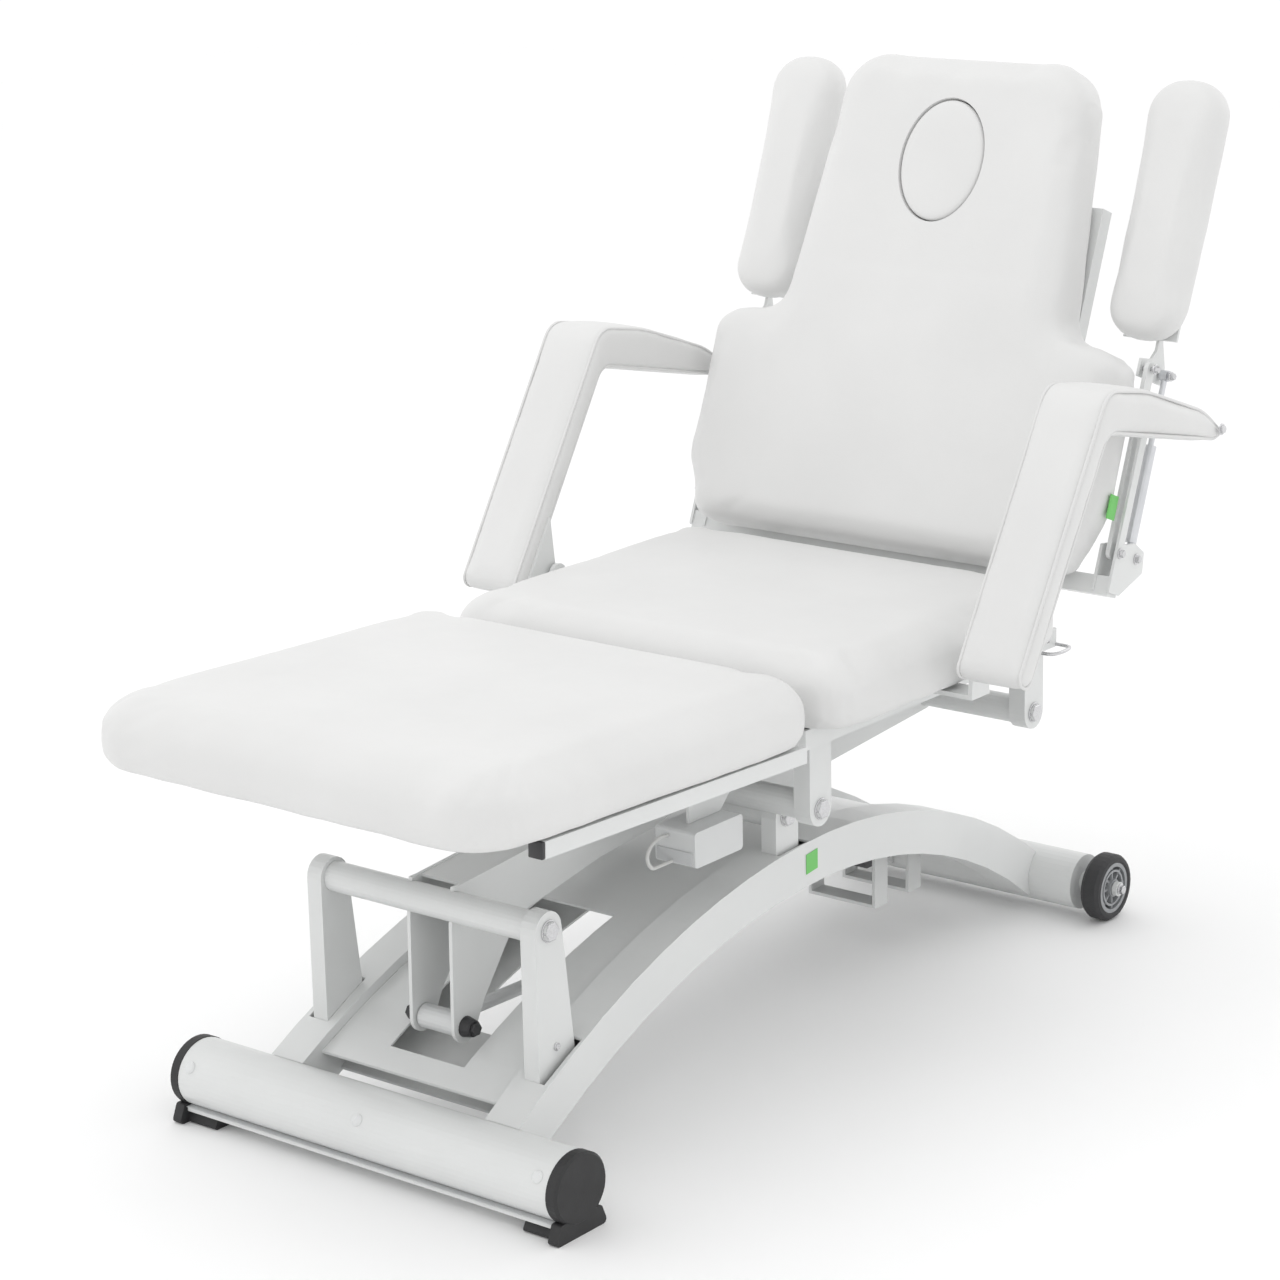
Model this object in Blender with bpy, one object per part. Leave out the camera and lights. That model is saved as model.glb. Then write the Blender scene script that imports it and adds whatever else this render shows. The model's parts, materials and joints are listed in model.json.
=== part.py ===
"""Facial treatment bed: arched base, parallelogram lift, seat chassis, leg and back sections, armrests.

Units are metres. +Y runs from the foot end to the head end, +Z is up, and the bed is symmetric about X = 0.
The back and leg sections are drawn flat and tilted by their hinge empties.
"""
import bpy
import bmesh
from math import atan2, cos, hypot, pi, radians, sin, sqrt
from mathutils import Vector

GAP = 0.0003                    # running gap between touching pieces

# base
CENTRE_Y = 0.5827               # distance from the front crossbar to the middle of the footprint
BAR_Z, BAR_RY, BAR_RZ, BAR_HALF = 0.0565, 0.0448, 0.0415, 0.288
CAP_END = 0.303
ARCH_Y, ARCH_Z, ARCH_R_FRONT, ARCH_R_REAR = 0.640, 0.234, 1.18, 0.93
BEAM_H, BEAM_W, BEAM_OUT, BEAM_TAPER = 0.058, 0.051, 0.1955, 0.0465
WALL = 0.003
REAR_Y, WHEEL_R, REAR_R, REAR_HALF = 1.2187, 0.0465, 0.0387, 0.208
WHEEL_X, WHEEL_W, RIM_R, AXLE_R = 0.2270, 0.030, 0.0350, 0.006
PLATE_DROP = 0.0135

# lift pivots (y, z)
PIVOT_A = (0.104, 0.3033)
PIVOT_B = (0.556, 0.3380)
PIVOT_C = (0.588, 0.3060)
PIVOT_D = (PIVOT_C[0] + PIVOT_B[0] - PIVOT_A[0], PIVOT_C[1] + PIVOT_B[1] - PIVOT_A[1])
TUBE_R, JOURNAL_R = 0.0184, 0.0080
POST_A_IN, POST_C_IN, HANGER_IN = 0.1550, 0.1375, 0.2105
POST_A_T, POST_C_T, HANGER_T = 0.0226, 0.0225, 0.0245
CRANK_PIN = (0.116, 0.1505)
MOTOR_FOOT = (1.025, 0.125)
ARM_IN, ARM_OUT = 0.0300, 0.0350

# chassis
RAIL_LOW, RAIL_TOP, RAIL_IN, RAIL_OUT = 0.4320, 0.4570, 0.2345, 0.2595
LEG_HINGE, BACK_HINGE = (0.470, 0.482), (1.030, 0.450)
LEG_TILT, BACK_TILT = -2.0, 68.5
HINGE_R = 0.0080

# cushions
HALF_W = 0.320
DECK, SEAT_TOP = 0.4580, 0.5450
SEAT_Y0, SEAT_Y1, LEG_Y0, LEG_Y1 = 0.474, 1.012, -0.163, 0.466
BACK_LOW, BACK_TOP = 0.4600, 0.5350
BACK_Y0, BACK_Y1 = 1.116, 1.786
HOLE_Y, HOLE_A, HOLE_B = 1.631, 0.0650, 0.0840

# actuators: (y, z) of the foot on the frame and of the eye, and the side of the bed
LEG_FOOT, LEG_EYE, LEG_SIDE = (0.720, 0.399), (0.360, 0.393), -0.100
BACK_FOOT, BACK_EYE, BACK_SIDE = (0.620, 0.405), (1.027, 0.390), 0.100
RAM_R, BORE_R, SLEEVE_R = 0.0085, 0.0160, 0.0195

# armrests (y, z)
ARM_P2, ARM_P3, ARM_P4 = (0.750, 0.510), (0.860, 0.790), (1.140, 0.730)
POST_IN, POST_OUT, PAD_IN, PAD_OUT = 0.345, 0.445, 0.350, 0.450

# side arms, drawn flat with the back section
LINK_Y, LINK_Z, STRUT_Z, LINK_END = 1.1532, 0.4510, 0.4070, 1.3968
LINK_IN, LINK_OUT, STRUT_X = 0.3260, 0.3320, 0.3290
SIDE_Y0, SIDE_Y1, SIDE_X0, SIDE_X1 = 1.431, 1.786, 0.245, 0.365
SIDE_LOW, SIDE_TOP = 0.4250, 0.4750


# ---------------------------------------------------------------- scene helpers

def clear_scene():
    for obj in list(bpy.data.objects):
        bpy.data.objects.remove(obj, do_unlink=True)


def material(name, color, roughness, metallic=0.0):
    mat = bpy.data.materials.new(name)
    mat.use_nodes = True
    shader = mat.node_tree.nodes["Principled BSDF"]
    shader.inputs["Base Color"].default_value = (*color, 1.0)
    shader.inputs["Roughness"].default_value = roughness
    shader.inputs["Metallic"].default_value = metallic
    mat.diffuse_color = (*color, 1.0)
    return mat


class Frame:
    """An empty on a joint axis. Pieces are drawn in flat world coordinates and hung from it."""

    def __init__(self, name, at, parent=None, tilt=0.0):
        self.at = Vector(at)
        self.empty = bpy.data.objects.new(name, None)
        bpy.context.collection.objects.link(self.empty)
        self.empty.empty_display_size = 0.05
        base = parent.at if parent else Vector((0.0, 0.0, 0.0))
        self.empty.location = self.at - base
        if parent:
            self.empty.parent = parent.empty
        self.empty.rotation_euler = (radians(tilt), 0.0, 0.0)


def add(name, bm, mat, frame, smooth=True):
    """Turn a bmesh in flat world coordinates into a named object hung from its frame."""
    bmesh.ops.recalc_face_normals(bm, faces=bm.faces)
    bmesh.ops.translate(bm, verts=bm.verts, vec=-frame.at)
    mesh = bpy.data.meshes.new(name)
    bm.to_mesh(mesh)
    bm.free()
    obj = bpy.data.objects.new(name, mesh)
    bpy.context.collection.objects.link(obj)
    obj.parent = frame.empty
    mesh.materials.append(mat)
    if smooth:
        mesh.shade_smooth()
        mesh.set_sharp_from_angle(angle=radians(32))
    return obj


def boolean(obj, other, operation):
    other.hide_render = True
    other.display_type = "WIRE"
    mod = obj.modifiers.new(operation.lower(), "BOOLEAN")
    mod.operation = operation
    mod.object = other
    mod.solver = "EXACT"
    return obj


# ---------------------------------------------------------------- shape helpers

def merge(target, source):
    """Copy one bmesh into another as a further closed body."""
    mesh = bpy.data.meshes.new("merge")
    source.to_mesh(mesh)
    source.free()
    target.from_mesh(mesh)
    bpy.data.meshes.remove(mesh)
    return target


def place(axis, along, u, v):
    """Point with `along` on the axis; u, v are (y, z) for X, (x, z) for Y and (x, y) for Z."""
    if axis == "X":
        return (along, u, v)
    if axis == "Y":
        return (u, along, v)
    return (u, v, along)


def prism(axis, outline, low, high):
    bm = bmesh.new()
    first = [bm.verts.new(place(axis, low, u, v)) for u, v in outline]
    last = [bm.verts.new(place(axis, high, u, v)) for u, v in outline]
    count = len(outline)
    bm.faces.new(first)
    bm.faces.new(list(reversed(last)))
    for i in range(count):
        j = (i + 1) % count
        bm.faces.new((first[i], last[i], last[j], first[j]))
    bmesh.ops.recalc_face_normals(bm, faces=bm.faces)
    return bm


def box(x0, x1, y0, y1, z0, z1):
    return prism("X", [(y0, z0), (y1, z0), (y1, z1), (y0, z1)], x0, x1)


def arc(center, radius, start, end, steps):
    """Points on an arc, angles in degrees."""
    points = []
    for i in range(steps + 1):
        angle = radians(start + (end - start) * i / steps)
        points.append((center[0] + radius * cos(angle), center[1] + radius * sin(angle)))
    return points


def circle(center, radius, count):
    return arc(center, radius, 0.0, 360.0 * (count - 1) / count, count - 1)


def lathe(axis, center, profile, count=24):
    """Closed body turned about an axis; profile is (along, radius) and starts and ends at radius 0."""
    bm = bmesh.new()
    rings = []
    for along, radius in profile:
        if radius == 0.0:
            rings.append([bm.verts.new(place(axis, along, *center))])
        else:
            rings.append([bm.verts.new(place(axis, along, *p)) for p in circle(center, radius, count)])
    for a, b in zip(rings, rings[1:]):
        for i in range(count):
            j = (i + 1) % count
            corners = [a[i % len(a)], a[j % len(a)], b[j % len(b)], b[i % len(b)]]
            face = []
            for vert in corners:
                if vert not in face:
                    face.append(vert)
            bm.faces.new(face)
    bmesh.ops.recalc_face_normals(bm, faces=bm.faces)
    return bm


def ring_body(axis, center, outer, inner, low, high, count=24):
    """Open tube: a wall between two radii."""
    bm = bmesh.new()
    loops = []
    for along, radius in ((low, outer), (high, outer), (high, inner), (low, inner)):
        loops.append([bm.verts.new(place(axis, along, *p)) for p in circle(center, radius, count)])
    for k in range(4):
        a, b = loops[k], loops[(k + 1) % 4]
        for i in range(count):
            j = (i + 1) % count
            bm.faces.new((a[i], a[j], b[j], b[i]))
    bmesh.ops.recalc_face_normals(bm, faces=bm.faces)
    return bm


def rounded(points, radii, steps=4):
    """Polygon with each corner replaced by an arc of its own radius."""
    out = []
    count = len(points)
    for i in range(count):
        here = Vector(points[i])
        back = Vector(points[i - 1]) - here
        ahead = Vector(points[(i + 1) % count]) - here
        radius = radii[i] if isinstance(radii, (list, tuple)) else radii
        if radius <= 0.0:
            out.append(tuple(here))
            continue
        back.normalize()
        ahead.normalize()
        half = back.angle(ahead) / 2.0
        reach = radius / (sin(half) / cos(half))
        center = here + (back + ahead).normalized() * (radius / sin(half))
        a = here + back * reach - center
        b = here + ahead * reach - center
        start = atan2(a.y, a.x)
        turn = (atan2(b.y, b.x) - start + pi) % (2 * pi) - pi
        for k in range(steps + 1):
            angle = start + turn * k / steps
            out.append((center.x + radius * cos(angle), center.y + radius * sin(angle)))
    return out


def inset(outline, amount):
    """Counter-clockwise outline moved inwards along its vertex normals."""
    out = []
    count = len(outline)
    for i in range(count):
        a = Vector(outline[i - 1])
        b = Vector(outline[(i + 1) % count])
        tangent = (b - a).normalized()
        out.append((outline[i][0] - tangent.y * amount, outline[i][1] + tangent.x * amount))
    return out


def slab(outline, layers):
    """Loft of inset copies of one plan outline; layers are (z, inset)."""
    bm = bmesh.new()
    rings = []
    for z, amount in layers:
        rings.append([bm.verts.new((x, y, z)) for x, y in inset(outline, amount)])
    count = len(outline)
    for a, b in zip(rings, rings[1:]):
        for i in range(count):
            j = (i + 1) % count
            bm.faces.new((a[i], a[j], b[j], b[i]))
    bm.faces.new(list(reversed(rings[0])))
    bm.faces.new(rings[-1])
    bmesh.ops.triangulate(bm, faces=[f for f in bm.faces if len(f.verts) > 4])
    return bm


def cushion_layers(low, top, edge):
    """Bullnose edge: small radius below, large radius above."""
    tuck = edge * 0.45
    layers = [(low, tuck), (low + tuck * 0.35, tuck * 0.3), (low + tuck, 0.0)]
    for k in range(4):
        angle = radians(22.5 * k + 22.5)
        layers.append((top - edge + edge * sin(angle), edge * (1.0 - cos(angle))))
    layers.insert(3, (top - edge, 0.0))
    return layers


def turned(origin, direction, along, across):
    """(y, z) point at `along` on a direction from an origin and `across` on its left normal."""
    length = hypot(*direction)
    dy, dz = direction[0] / length, direction[1] / length
    return (origin[0] + dy * along - dz * across, origin[1] + dz * along + dy * across)


def bar_outline(start, end, half, steps=6):
    """Link with two round ends between two (y, z) points."""
    heading = atan2(end[1] - start[1], end[0] - start[0]) * 180.0 / pi
    return arc(end, half, heading - 90, heading + 90, steps) + arc(start, half, heading + 90, heading + 270, steps)


def side_pairs():
    return (("left", -1.0), ("right", 1.0))


def span(side, inner, outer):
    """Low and high x of a piece that lies between two distances from the middle."""
    return (inner, outer) if side > 0 else (-outer, -inner)


def stretched(bm, center, along_y, along_z):
    """Scale a body in Y and Z about an axis parallel to X."""
    for vert in bm.verts:
        vert.co.y = center[0] + (vert.co.y - center[0]) * along_y
        vert.co.z = center[1] + (vert.co.z - center[1]) * along_z
    return bm


def rod(center, radius, half, count=20, x=0.0):
    """Solid round bar along X."""
    return lathe("X", center, [(x - half, 0.0), (x - half, radius), (x + half, radius), (x + half, 0.0)], count)


def tilted(origin, point, degrees):
    """(y, z) point turned about an origin."""
    angle = radians(degrees)
    y, z = point[0] - origin[0], point[1] - origin[1]
    return (origin[0] + y * cos(angle) - z * sin(angle), origin[1] + y * sin(angle) + z * cos(angle))


# ---------------------------------------------------------------- base

def arch_middle(y):
    """(z, slope) of the beams' middle line."""
    radius = ARCH_R_FRONT if y < ARCH_Y else ARCH_R_REAR
    away = y - ARCH_Y
    height = sqrt(radius * radius - away * away)
    return ARCH_Z - radius + height, -away / height


def beam_side(y):
    return BEAM_OUT - BEAM_TAPER * y


def plate_top(y):
    middle, slope = arch_middle(y)
    return middle + BEAM_H / 2 * sqrt(1.0 + slope * slope) - PLATE_DROP


def front_crossbar(mats, root):
    profile = ring_body("X", (0.0, BAR_Z), 1.0, 1.0 - WALL / BAR_RZ, -BAR_HALF, BAR_HALF, 40)
    bar = add("front_crossbar", stretched(profile, (0.0, BAR_Z), BAR_RY, BAR_RZ), mats["white"], root)
    return bar


def front_cap(mats, root, name, side):
    """Rubber end cap with a plug inside the tube and a foot below it."""
    start, grown = BAR_HALF + GAP, 1.02
    plug = 1.0 - (WALL + GAP) / BAR_RZ
    profile = [(side * (BAR_HALF - 0.020), 0.0), (side * (BAR_HALF - 0.020), plug), (side * start, plug),
               (side * start, grown), (side * (CAP_END - 0.003), grown), (side * CAP_END, grown - 0.07),
               (side * CAP_END, 0.0)]
    body = stretched(lathe("X", (0.0, BAR_Z), profile, 40), (0.0, BAR_Z), BAR_RY, BAR_RZ)
    cap = add(name, body, mats["rubber"], root)
    low, high = span(side, start, CAP_END - 0.001)
    foot = rounded([(-0.046, 0.0), (0.046, 0.0), (0.036, 0.024), (-0.036, 0.024)], [0.005, 0.005, 0.004, 0.004], 3)
    boolean(cap, add(name + "_shoe", prism("X", foot, low, high), mats["rubber"], root), "UNION")
    low, high = span(side, BAR_HALF - 0.046, start + 0.002)
    pad = rounded([(-0.034, 0.0), (0.034, 0.0), (0.026, 0.0125), (-0.026, 0.0125)], 0.003, 2)
    boolean(cap, add(name + "_pad", prism("X", pad, low, high), mats["rubber"], root), "UNION")
    return cap


def beam_ring(bm, y, side, grow):
    """Four corners of the beam's cross-section, square to the arch, at the station y."""
    middle, slope = arch_middle(y)
    length = sqrt(1.0 + slope * slope)
    ring = []
    for across, up in ((0.0, -1.0), (0.0, 1.0), (1.0, 1.0), (1.0, -1.0)):
        reach = up * (BEAM_H / 2 - grow)
        py, pz = y - slope / length * reach, middle + reach / length
        px = beam_side(py) - grow - across * (BEAM_W - 2 * grow)
        ring.append(bm.verts.new((side * px, py, pz)))
    return ring


def side_beam(mats, root, name, side):
    """Arched rectangular tube, open at both ends, with a slot in its top for each lift post."""
    bm = bmesh.new()
    steps = 20
    outer, inner = [], []
    for i in range(steps + 1):
        y = 0.020 + 1.180 * i / steps
        outer.append(beam_ring(bm, y, side, 0.0))
        inner.append(beam_ring(bm, y, side, WALL))
    for rings in (outer, inner):
        for a, b in zip(rings, rings[1:]):
            for i in range(4):
                j = (i + 1) % 4
                bm.faces.new((a[i], a[j], b[j], b[i]))
    for k in (0, -1):
        for i in range(4):
            j = (i + 1) % 4
            bm.faces.new((outer[k][i], outer[k][j], inner[k][j], inner[k][i]))
    beam = add(name, bm, mats["white"], root)
    slots = ((POST_A_IN, 0.1850, 0.0797, 0.1500, 0.112), (POST_C_IN, 0.1646, 0.5640, 0.6280, 0.225))
    for index, (inside, outside, y0, y1, low) in enumerate(slots):
        x0, x1 = span(side, inside - GAP, outside)
        cutter = add("%s_slot_%d" % (name, index), box(x0, x1, y0, y1, low, 0.35), mats["white"], root, False)
        boolean(beam, cutter, "DIFFERENCE")
    front = stretched(rod((0.0, BAR_Z), 1.0, 0.25, 40), (0.0, BAR_Z), BAR_RY + GAP, BAR_RZ + GAP)
    boolean(beam, add(name + "_front_trim", front, mats["white"], root), "DIFFERENCE")
    rear = rod((REAR_Y, WHEEL_R), REAR_R + GAP, 0.25, 40)
    boolean(beam, add(name + "_rear_trim", rear, mats["white"], root), "DIFFERENCE")
    return beam


def curved_sheet(y0, y1, top_of, half_of, thick, steps):
    """Sheet bent along Y; top_of and half_of give its height and half width at y."""
    bm = bmesh.new()
    rings = []
    for i in range(steps + 1):
        y = y0 + (y1 - y0) * i / steps
        half, top = half_of(y), top_of(y)
        corners = ((-half, top), (half, top), (half, top - thick), (-half, top - thick))
        rings.append([bm.verts.new((x, y, z)) for x, z in corners])
    for a, b in zip(rings, rings[1:]):
        for i in range(4):
            j = (i + 1) % 4
            bm.faces.new((a[i], a[j], b[j], b[i]))
    bm.faces.new(rings[0])
    bm.faces.new(list(reversed(rings[-1])))
    bmesh.ops.recalc_face_normals(bm, faces=bm.faces)
    return bm


def beam_gap(y):
    return beam_side(y) - BEAM_W - GAP


def base_cover_plate(mats, root):
    """Sheet between the beams with a window for the crank."""
    sheet = curved_sheet(0.055, 1.150, plate_top, beam_gap, 0.003, 24)
    cover = add("base_cover_plate", sheet, mats["white"], root)
    window = box(-0.058, 0.058, 0.085, 0.370, 0.05, 0.30)
    return boolean(cover, add("cover_window", window, mats["white"], root, False), "DIFFERENCE")


def tray_top(y):
    middle, slope = arch_middle(y)
    return middle - BEAM_H / 2 * sqrt(1.0 + slope * slope) + 0.006


def base_tray(mats, root):
    """Lower sheet at the beams' under edge, slotted for the height actuator."""
    tray = add("base_tray", curved_sheet(0.085, 0.450, tray_top, beam_gap, 0.003, 10), mats["white"], root)
    slot = box(-0.030, 0.030, 0.180, 0.500, 0.02, 0.30)
    return boolean(tray, add("tray_slot", slot, mats["white"], root, False), "DIFFERENCE")


def hanging_strap(mats, root, name, y0, y1, low, holes):
    """U-shaped flat bar under the cover plate."""
    under = 0.003 + 0.0009
    outline = [(y0, low), (y1, low), (y1, plate_top(y1) - under), (y0, plate_top(y0) - under)]
    strap = add(name, prism("X", outline, -0.055, 0.055), mats["white"], root)
    inside = box(-0.0505, 0.0505, y0 - 0.01, y1 + 0.01, low + 0.0045, 0.40)
    boolean(strap, add(name + "_inside", inside, mats["white"], root, False), "DIFFERENCE")
    if holes:
        bore = rod(MOTOR_FOOT, JOURNAL_R + GAP, 0.1, 20)
        boolean(strap, add(name + "_bore", bore, mats["white"], root), "DIFFERENCE")
    return strap


def rear_crossbar(mats, root):
    """Round rear tube with a turned stub axle and nut at each end."""
    out = WHEEL_X + WHEEL_W
    steps = ((out + 0.0075, 0.0), (out + 0.0075, 0.0100), (out + 0.0005, 0.0100), (out + 0.0005, AXLE_R),
             (WHEEL_X - 0.0005, AXLE_R), (WHEEL_X - 0.0005, 0.0150), (REAR_HALF, 0.0150), (REAR_HALF, REAR_R))
    profile = [(-x, r) for x, r in steps] + [(x, r) for x, r in reversed(steps)]
    return add("rear_crossbar", lathe("X", (REAR_Y, WHEEL_R), profile, 32), mats["white"], root)


def post(mats, frame, name, side, outline, pivot, inside, thick):
    """Flat upright drilled for the journal of a cross tube."""
    low, high = span(side, inside, inside + thick)
    piece = add(name, prism("X", outline, low, high), mats["white"], frame)
    bore = rod(pivot, JOURNAL_R + GAP, 0.3, 20)
    return boolean(piece, add(name + "_bore", bore, mats["white"], frame), "DIFFERENCE")


def lift_posts(mats, root, name, side):
    y, z = PIVOT_A
    front = arc(PIVOT_A, 0.0234, 0, 180, 10) + [(y - 0.0234, 0.105), (0.1450, 0.105), (0.1450, 0.150)]
    front = [(p[0] - 0.0003, p[1]) for p in front]
    post(mats, root, "front_post_" + name, side, front, PIVOT_A, POST_A_IN, POST_A_T)
    y, z = PIVOT_C
    rear = arc(PIVOT_C, 0.0235, 0, 180, 10) + [(y - 0.0235, 0.2095), (y + 0.0235, 0.2095)]
    post(mats, root, "mid_post_" + name, side, rear, PIVOT_C, POST_C_IN, POST_C_T)


def ring_profile(center, side, profile, count=32):
    """Ring-shaped body turned about X from a closed (x, radius) profile."""
    bm = bmesh.new()
    loops = []
    for x, radius in profile:
        loops.append([bm.verts.new((side * x, *p)) for p in circle(center, radius, count)])
    size = len(profile)
    for k in range(size):
        a, b = loops[k], loops[(k + 1) % size]
        for i in range(count):
            j = (i + 1) % count
            bm.faces.new((a[i], a[j], b[j], b[i]))
    return bm


def wheel(mats, root, name, side):
    center = (REAR_Y, WHEEL_R)
    frame = Frame("wheel_axis_" + name, (0.0, *center), root)
    x0, x1 = WHEEL_X, WHEEL_X + WHEEL_W
    bore = AXLE_R + GAP
    hub = [(x0 + 0.001, bore), (x1 - 0.001, bore), (x1 - 0.001, 0.0130), (x1 - 0.0070, 0.0150),
           (x1 - 0.0070, 0.0270), (x1 - 0.0020, 0.0290), (x1 - 0.0020, RIM_R), (x0 + 0.002, RIM_R)]
    add("wheel_hub_" + name, ring_profile(center, side, hub), mats["grey_plastic"], frame)
    tyre = [(x0 + 0.002, RIM_R + GAP), (x1 - 0.002, RIM_R + GAP), (x1, 0.0380), (x1 - 0.001, 0.0430),
            (x1 - 0.006, WHEEL_R), (x0 + 0.006, WHEEL_R), (x0 + 0.001, 0.0430), (x0, 0.0380)]
    add("wheel_tyre_" + name, ring_profile(center, side, tyre), mats["tyre"], frame)


# ---------------------------------------------------------------- lift

def pivot_tube(mats, frame, name, pivot, inside, thick):
    """Cross tube with a turned journal and head at each end, running in its two uprights."""
    shoulder, end = inside - GAP, inside + thick + GAP
    steps = ((end + 0.0045, 0.0), (end + 0.0045, 0.0115), (end, 0.0115), (end, JOURNAL_R), (shoulder, JOURNAL_R),
             (shoulder, TUBE_R))
    profile = [(-x, r) for x, r in steps] + [(x, r) for x, r in reversed(steps)]
    return add(name, lathe("X", pivot, profile, 24), mats["white"], frame)


def drill(target, name, mats, frame, pivots, radius):
    for index, pivot in enumerate(pivots):
        bore = add("%s_bore_%d" % (name, index), rod(pivot, radius, 0.5, 24), mats["white"], frame)
        boolean(target, bore, "DIFFERENCE")


def lift_arm_channel(mats, frame):
    """Two side plates with a folded top: an arm to the upper tube and a crank below the pivot."""
    outline = arc(CRANK_PIN, 0.020, 180, 330, 8)
    outline += [(0.150, 0.173), (0.197, 0.235), (0.233, 0.263), (0.373, 0.288), (0.480, 0.297)]
    outline += arc(PIVOT_B, 0.0235, 280, 450, 9)
    outline += [(0.115, 0.3265), (0.104, 0.3265), (0.0985, 0.280)]
    arm = add("lift_arm_channel", prism("X", outline, ARM_IN, ARM_OUT), mats["white"], frame)
    other = add("arm_plate", prism("X", outline, -ARM_OUT, -ARM_IN), mats["white"], frame)
    boolean(arm, other, "UNION")
    fold = [(0.121, 0.3262), (0.547, 0.3602), (0.547, 0.3568), (0.121, 0.3228)]
    boolean(arm, add("arm_fold", prism("X", fold, -ARM_IN - 0.002, ARM_IN + 0.002), mats["white"], frame), "UNION")
    drill(arm, "arm", mats, frame, (PIVOT_A, PIVOT_B), TUBE_R + GAP)
    drill(arm, "arm_pin", mats, frame, (CRANK_PIN,), JOURNAL_R + GAP)
    return arm


def crank_pin(mats, frame):
    out = ARM_OUT + GAP
    steps = ((out + 0.012, 0.0), (out + 0.012, 0.0105), (out, 0.0130), (out, JOURNAL_R))
    profile = [(-x, r) for x, r in steps] + [(x, r) for x, r in reversed(steps)]
    return add("crank_pin", lathe("X", CRANK_PIN, profile, 20), mats["black_plastic"], frame)


def rear_lever_bar(mats, frame, name, side):
    low, high = span(side, 0.055, 0.065)
    bar = add(name, prism("X", bar_outline(PIVOT_C, PIVOT_D, 0.0225), low, high), mats["white"], frame)
    drill(bar, name, mats, frame, (PIVOT_C, PIVOT_D), TUBE_R + GAP)
    return bar


# ---------------------------------------------------------------- actuators

def slanted(origin, toward, start, end, x, radius, count=18, drop=0.0):
    """Round bar along a slanted (y, z) direction, offset by `drop` on its left."""
    bm = bmesh.new()
    rings = []
    for along in (start, end):
        ring = []
        for k in range(count):
            angle = 2 * pi * k / count
            y, z = turned(origin, toward, along, drop + radius * sin(angle))
            ring.append(bm.verts.new((x + radius * cos(angle), y, z)))
        rings.append(ring)
    bm.faces.new(rings[0])
    bm.faces.new(list(reversed(rings[1])))
    for i in range(count):
        j = (i + 1) % count
        bm.faces.new((rings[0][i], rings[1][i], rings[1][j], rings[0][j]))
    bmesh.ops.recalc_face_normals(bm, faces=bm.faces)
    return bm


def slanted_box(origin, toward, start, end, low, high, x0, x1):
    corners = [turned(origin, toward, start, low), turned(origin, toward, end, low),
               turned(origin, toward, end, high), turned(origin, toward, start, high)]
    return prism("X", rounded(corners, 0.006, 2), x0, x1)


def actuator_body(mats, frame, name, foot, eye, x, sleeve, journals, can):
    """Cross journals, gearbox, motor can and the sleeve that the ram slides in."""
    toward = (eye[0] - foot[0], eye[1] - foot[1])
    wide, reach = journals
    ends = [(x - reach, 0.0), (x - reach, JOURNAL_R), (x - wide, JOURNAL_R), (x - wide, 0.0135),
            (x + wide, 0.0135), (x + wide, JOURNAL_R), (x + reach, JOURNAL_R), (x + reach, 0.0)]
    body = add(name, lathe("X", foot, ends, 20), mats["black_plastic"], frame)
    x0, x1, low, high = can
    case = slanted_box(foot, toward, 0.004, 0.070, max(low, -0.021), 0.021, x - 0.022, x + 0.022)
    boolean(body, add(name + "_case", case, mats["black_plastic"], frame), "UNION")
    gears = slanted_box(foot, toward, 0.024, 0.072, low, high, min(x0, x), max(x1, x))
    boolean(body, add(name + "_gears", gears, mats["black_plastic"], frame), "UNION")
    middle, drop = (x0 + x1) / 2, (low + 0.020 if x0 < x < x1 else 0.0)
    motor = slanted(foot, toward, 0.060, 0.150, middle, 0.0185, 18, drop)
    boolean(body, add(name + "_motor", motor, mats["black_plastic"], frame), "UNION")
    outer = slanted(foot, toward, 0.060, sleeve, x, SLEEVE_R, 20)
    boolean(body, add(name + "_sleeve", outer, mats["black_plastic"], frame), "UNION")
    inner = slanted(foot, toward, 0.080, sleeve + 0.050, x, BORE_R, 20)
    boolean(body, add(name + "_bore", inner, mats["black_plastic"], frame), "DIFFERENCE")
    return body


def actuator_ram(mats, frame, name, foot, eye, x, start, half):
    """Bright ram with a drilled or plain cross-eye at its end."""
    toward = (eye[0] - foot[0], eye[1] - foot[1])
    length = hypot(*toward)
    ram = add(name, slanted(foot, toward, start, length - 0.004, x, RAM_R, 16), mats["steel"], frame)
    boss = rod(eye, 0.0150, half, 20, x)
    boolean(ram, add(name + "_eye", boss, mats["steel"], frame), "UNION")
    return ram


# ---------------------------------------------------------------- chassis

def leg_lug(mirror):
    """Thin hinge lug that rises between the rounded ends of the leg and seat cushions."""
    y, z = LEG_HINGE
    outline = arc(LEG_HINGE, 0.0065, 0, 180, 6)
    outline += [(y - 0.0125, z - 0.0135), (y - 0.0230, z - 0.0250), (y - 0.0850, z - 0.0250),
                (y - 0.0850, z - 0.0450), (y - 0.0080, z - 0.0450), (y + 0.0065, z - 0.0300)]
    if mirror:
        outline = [(2 * y - py, pz) for py, pz in outline]
        outline = [(min(py, y + 0.040), pz) for py, pz in outline]
    return outline


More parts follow.
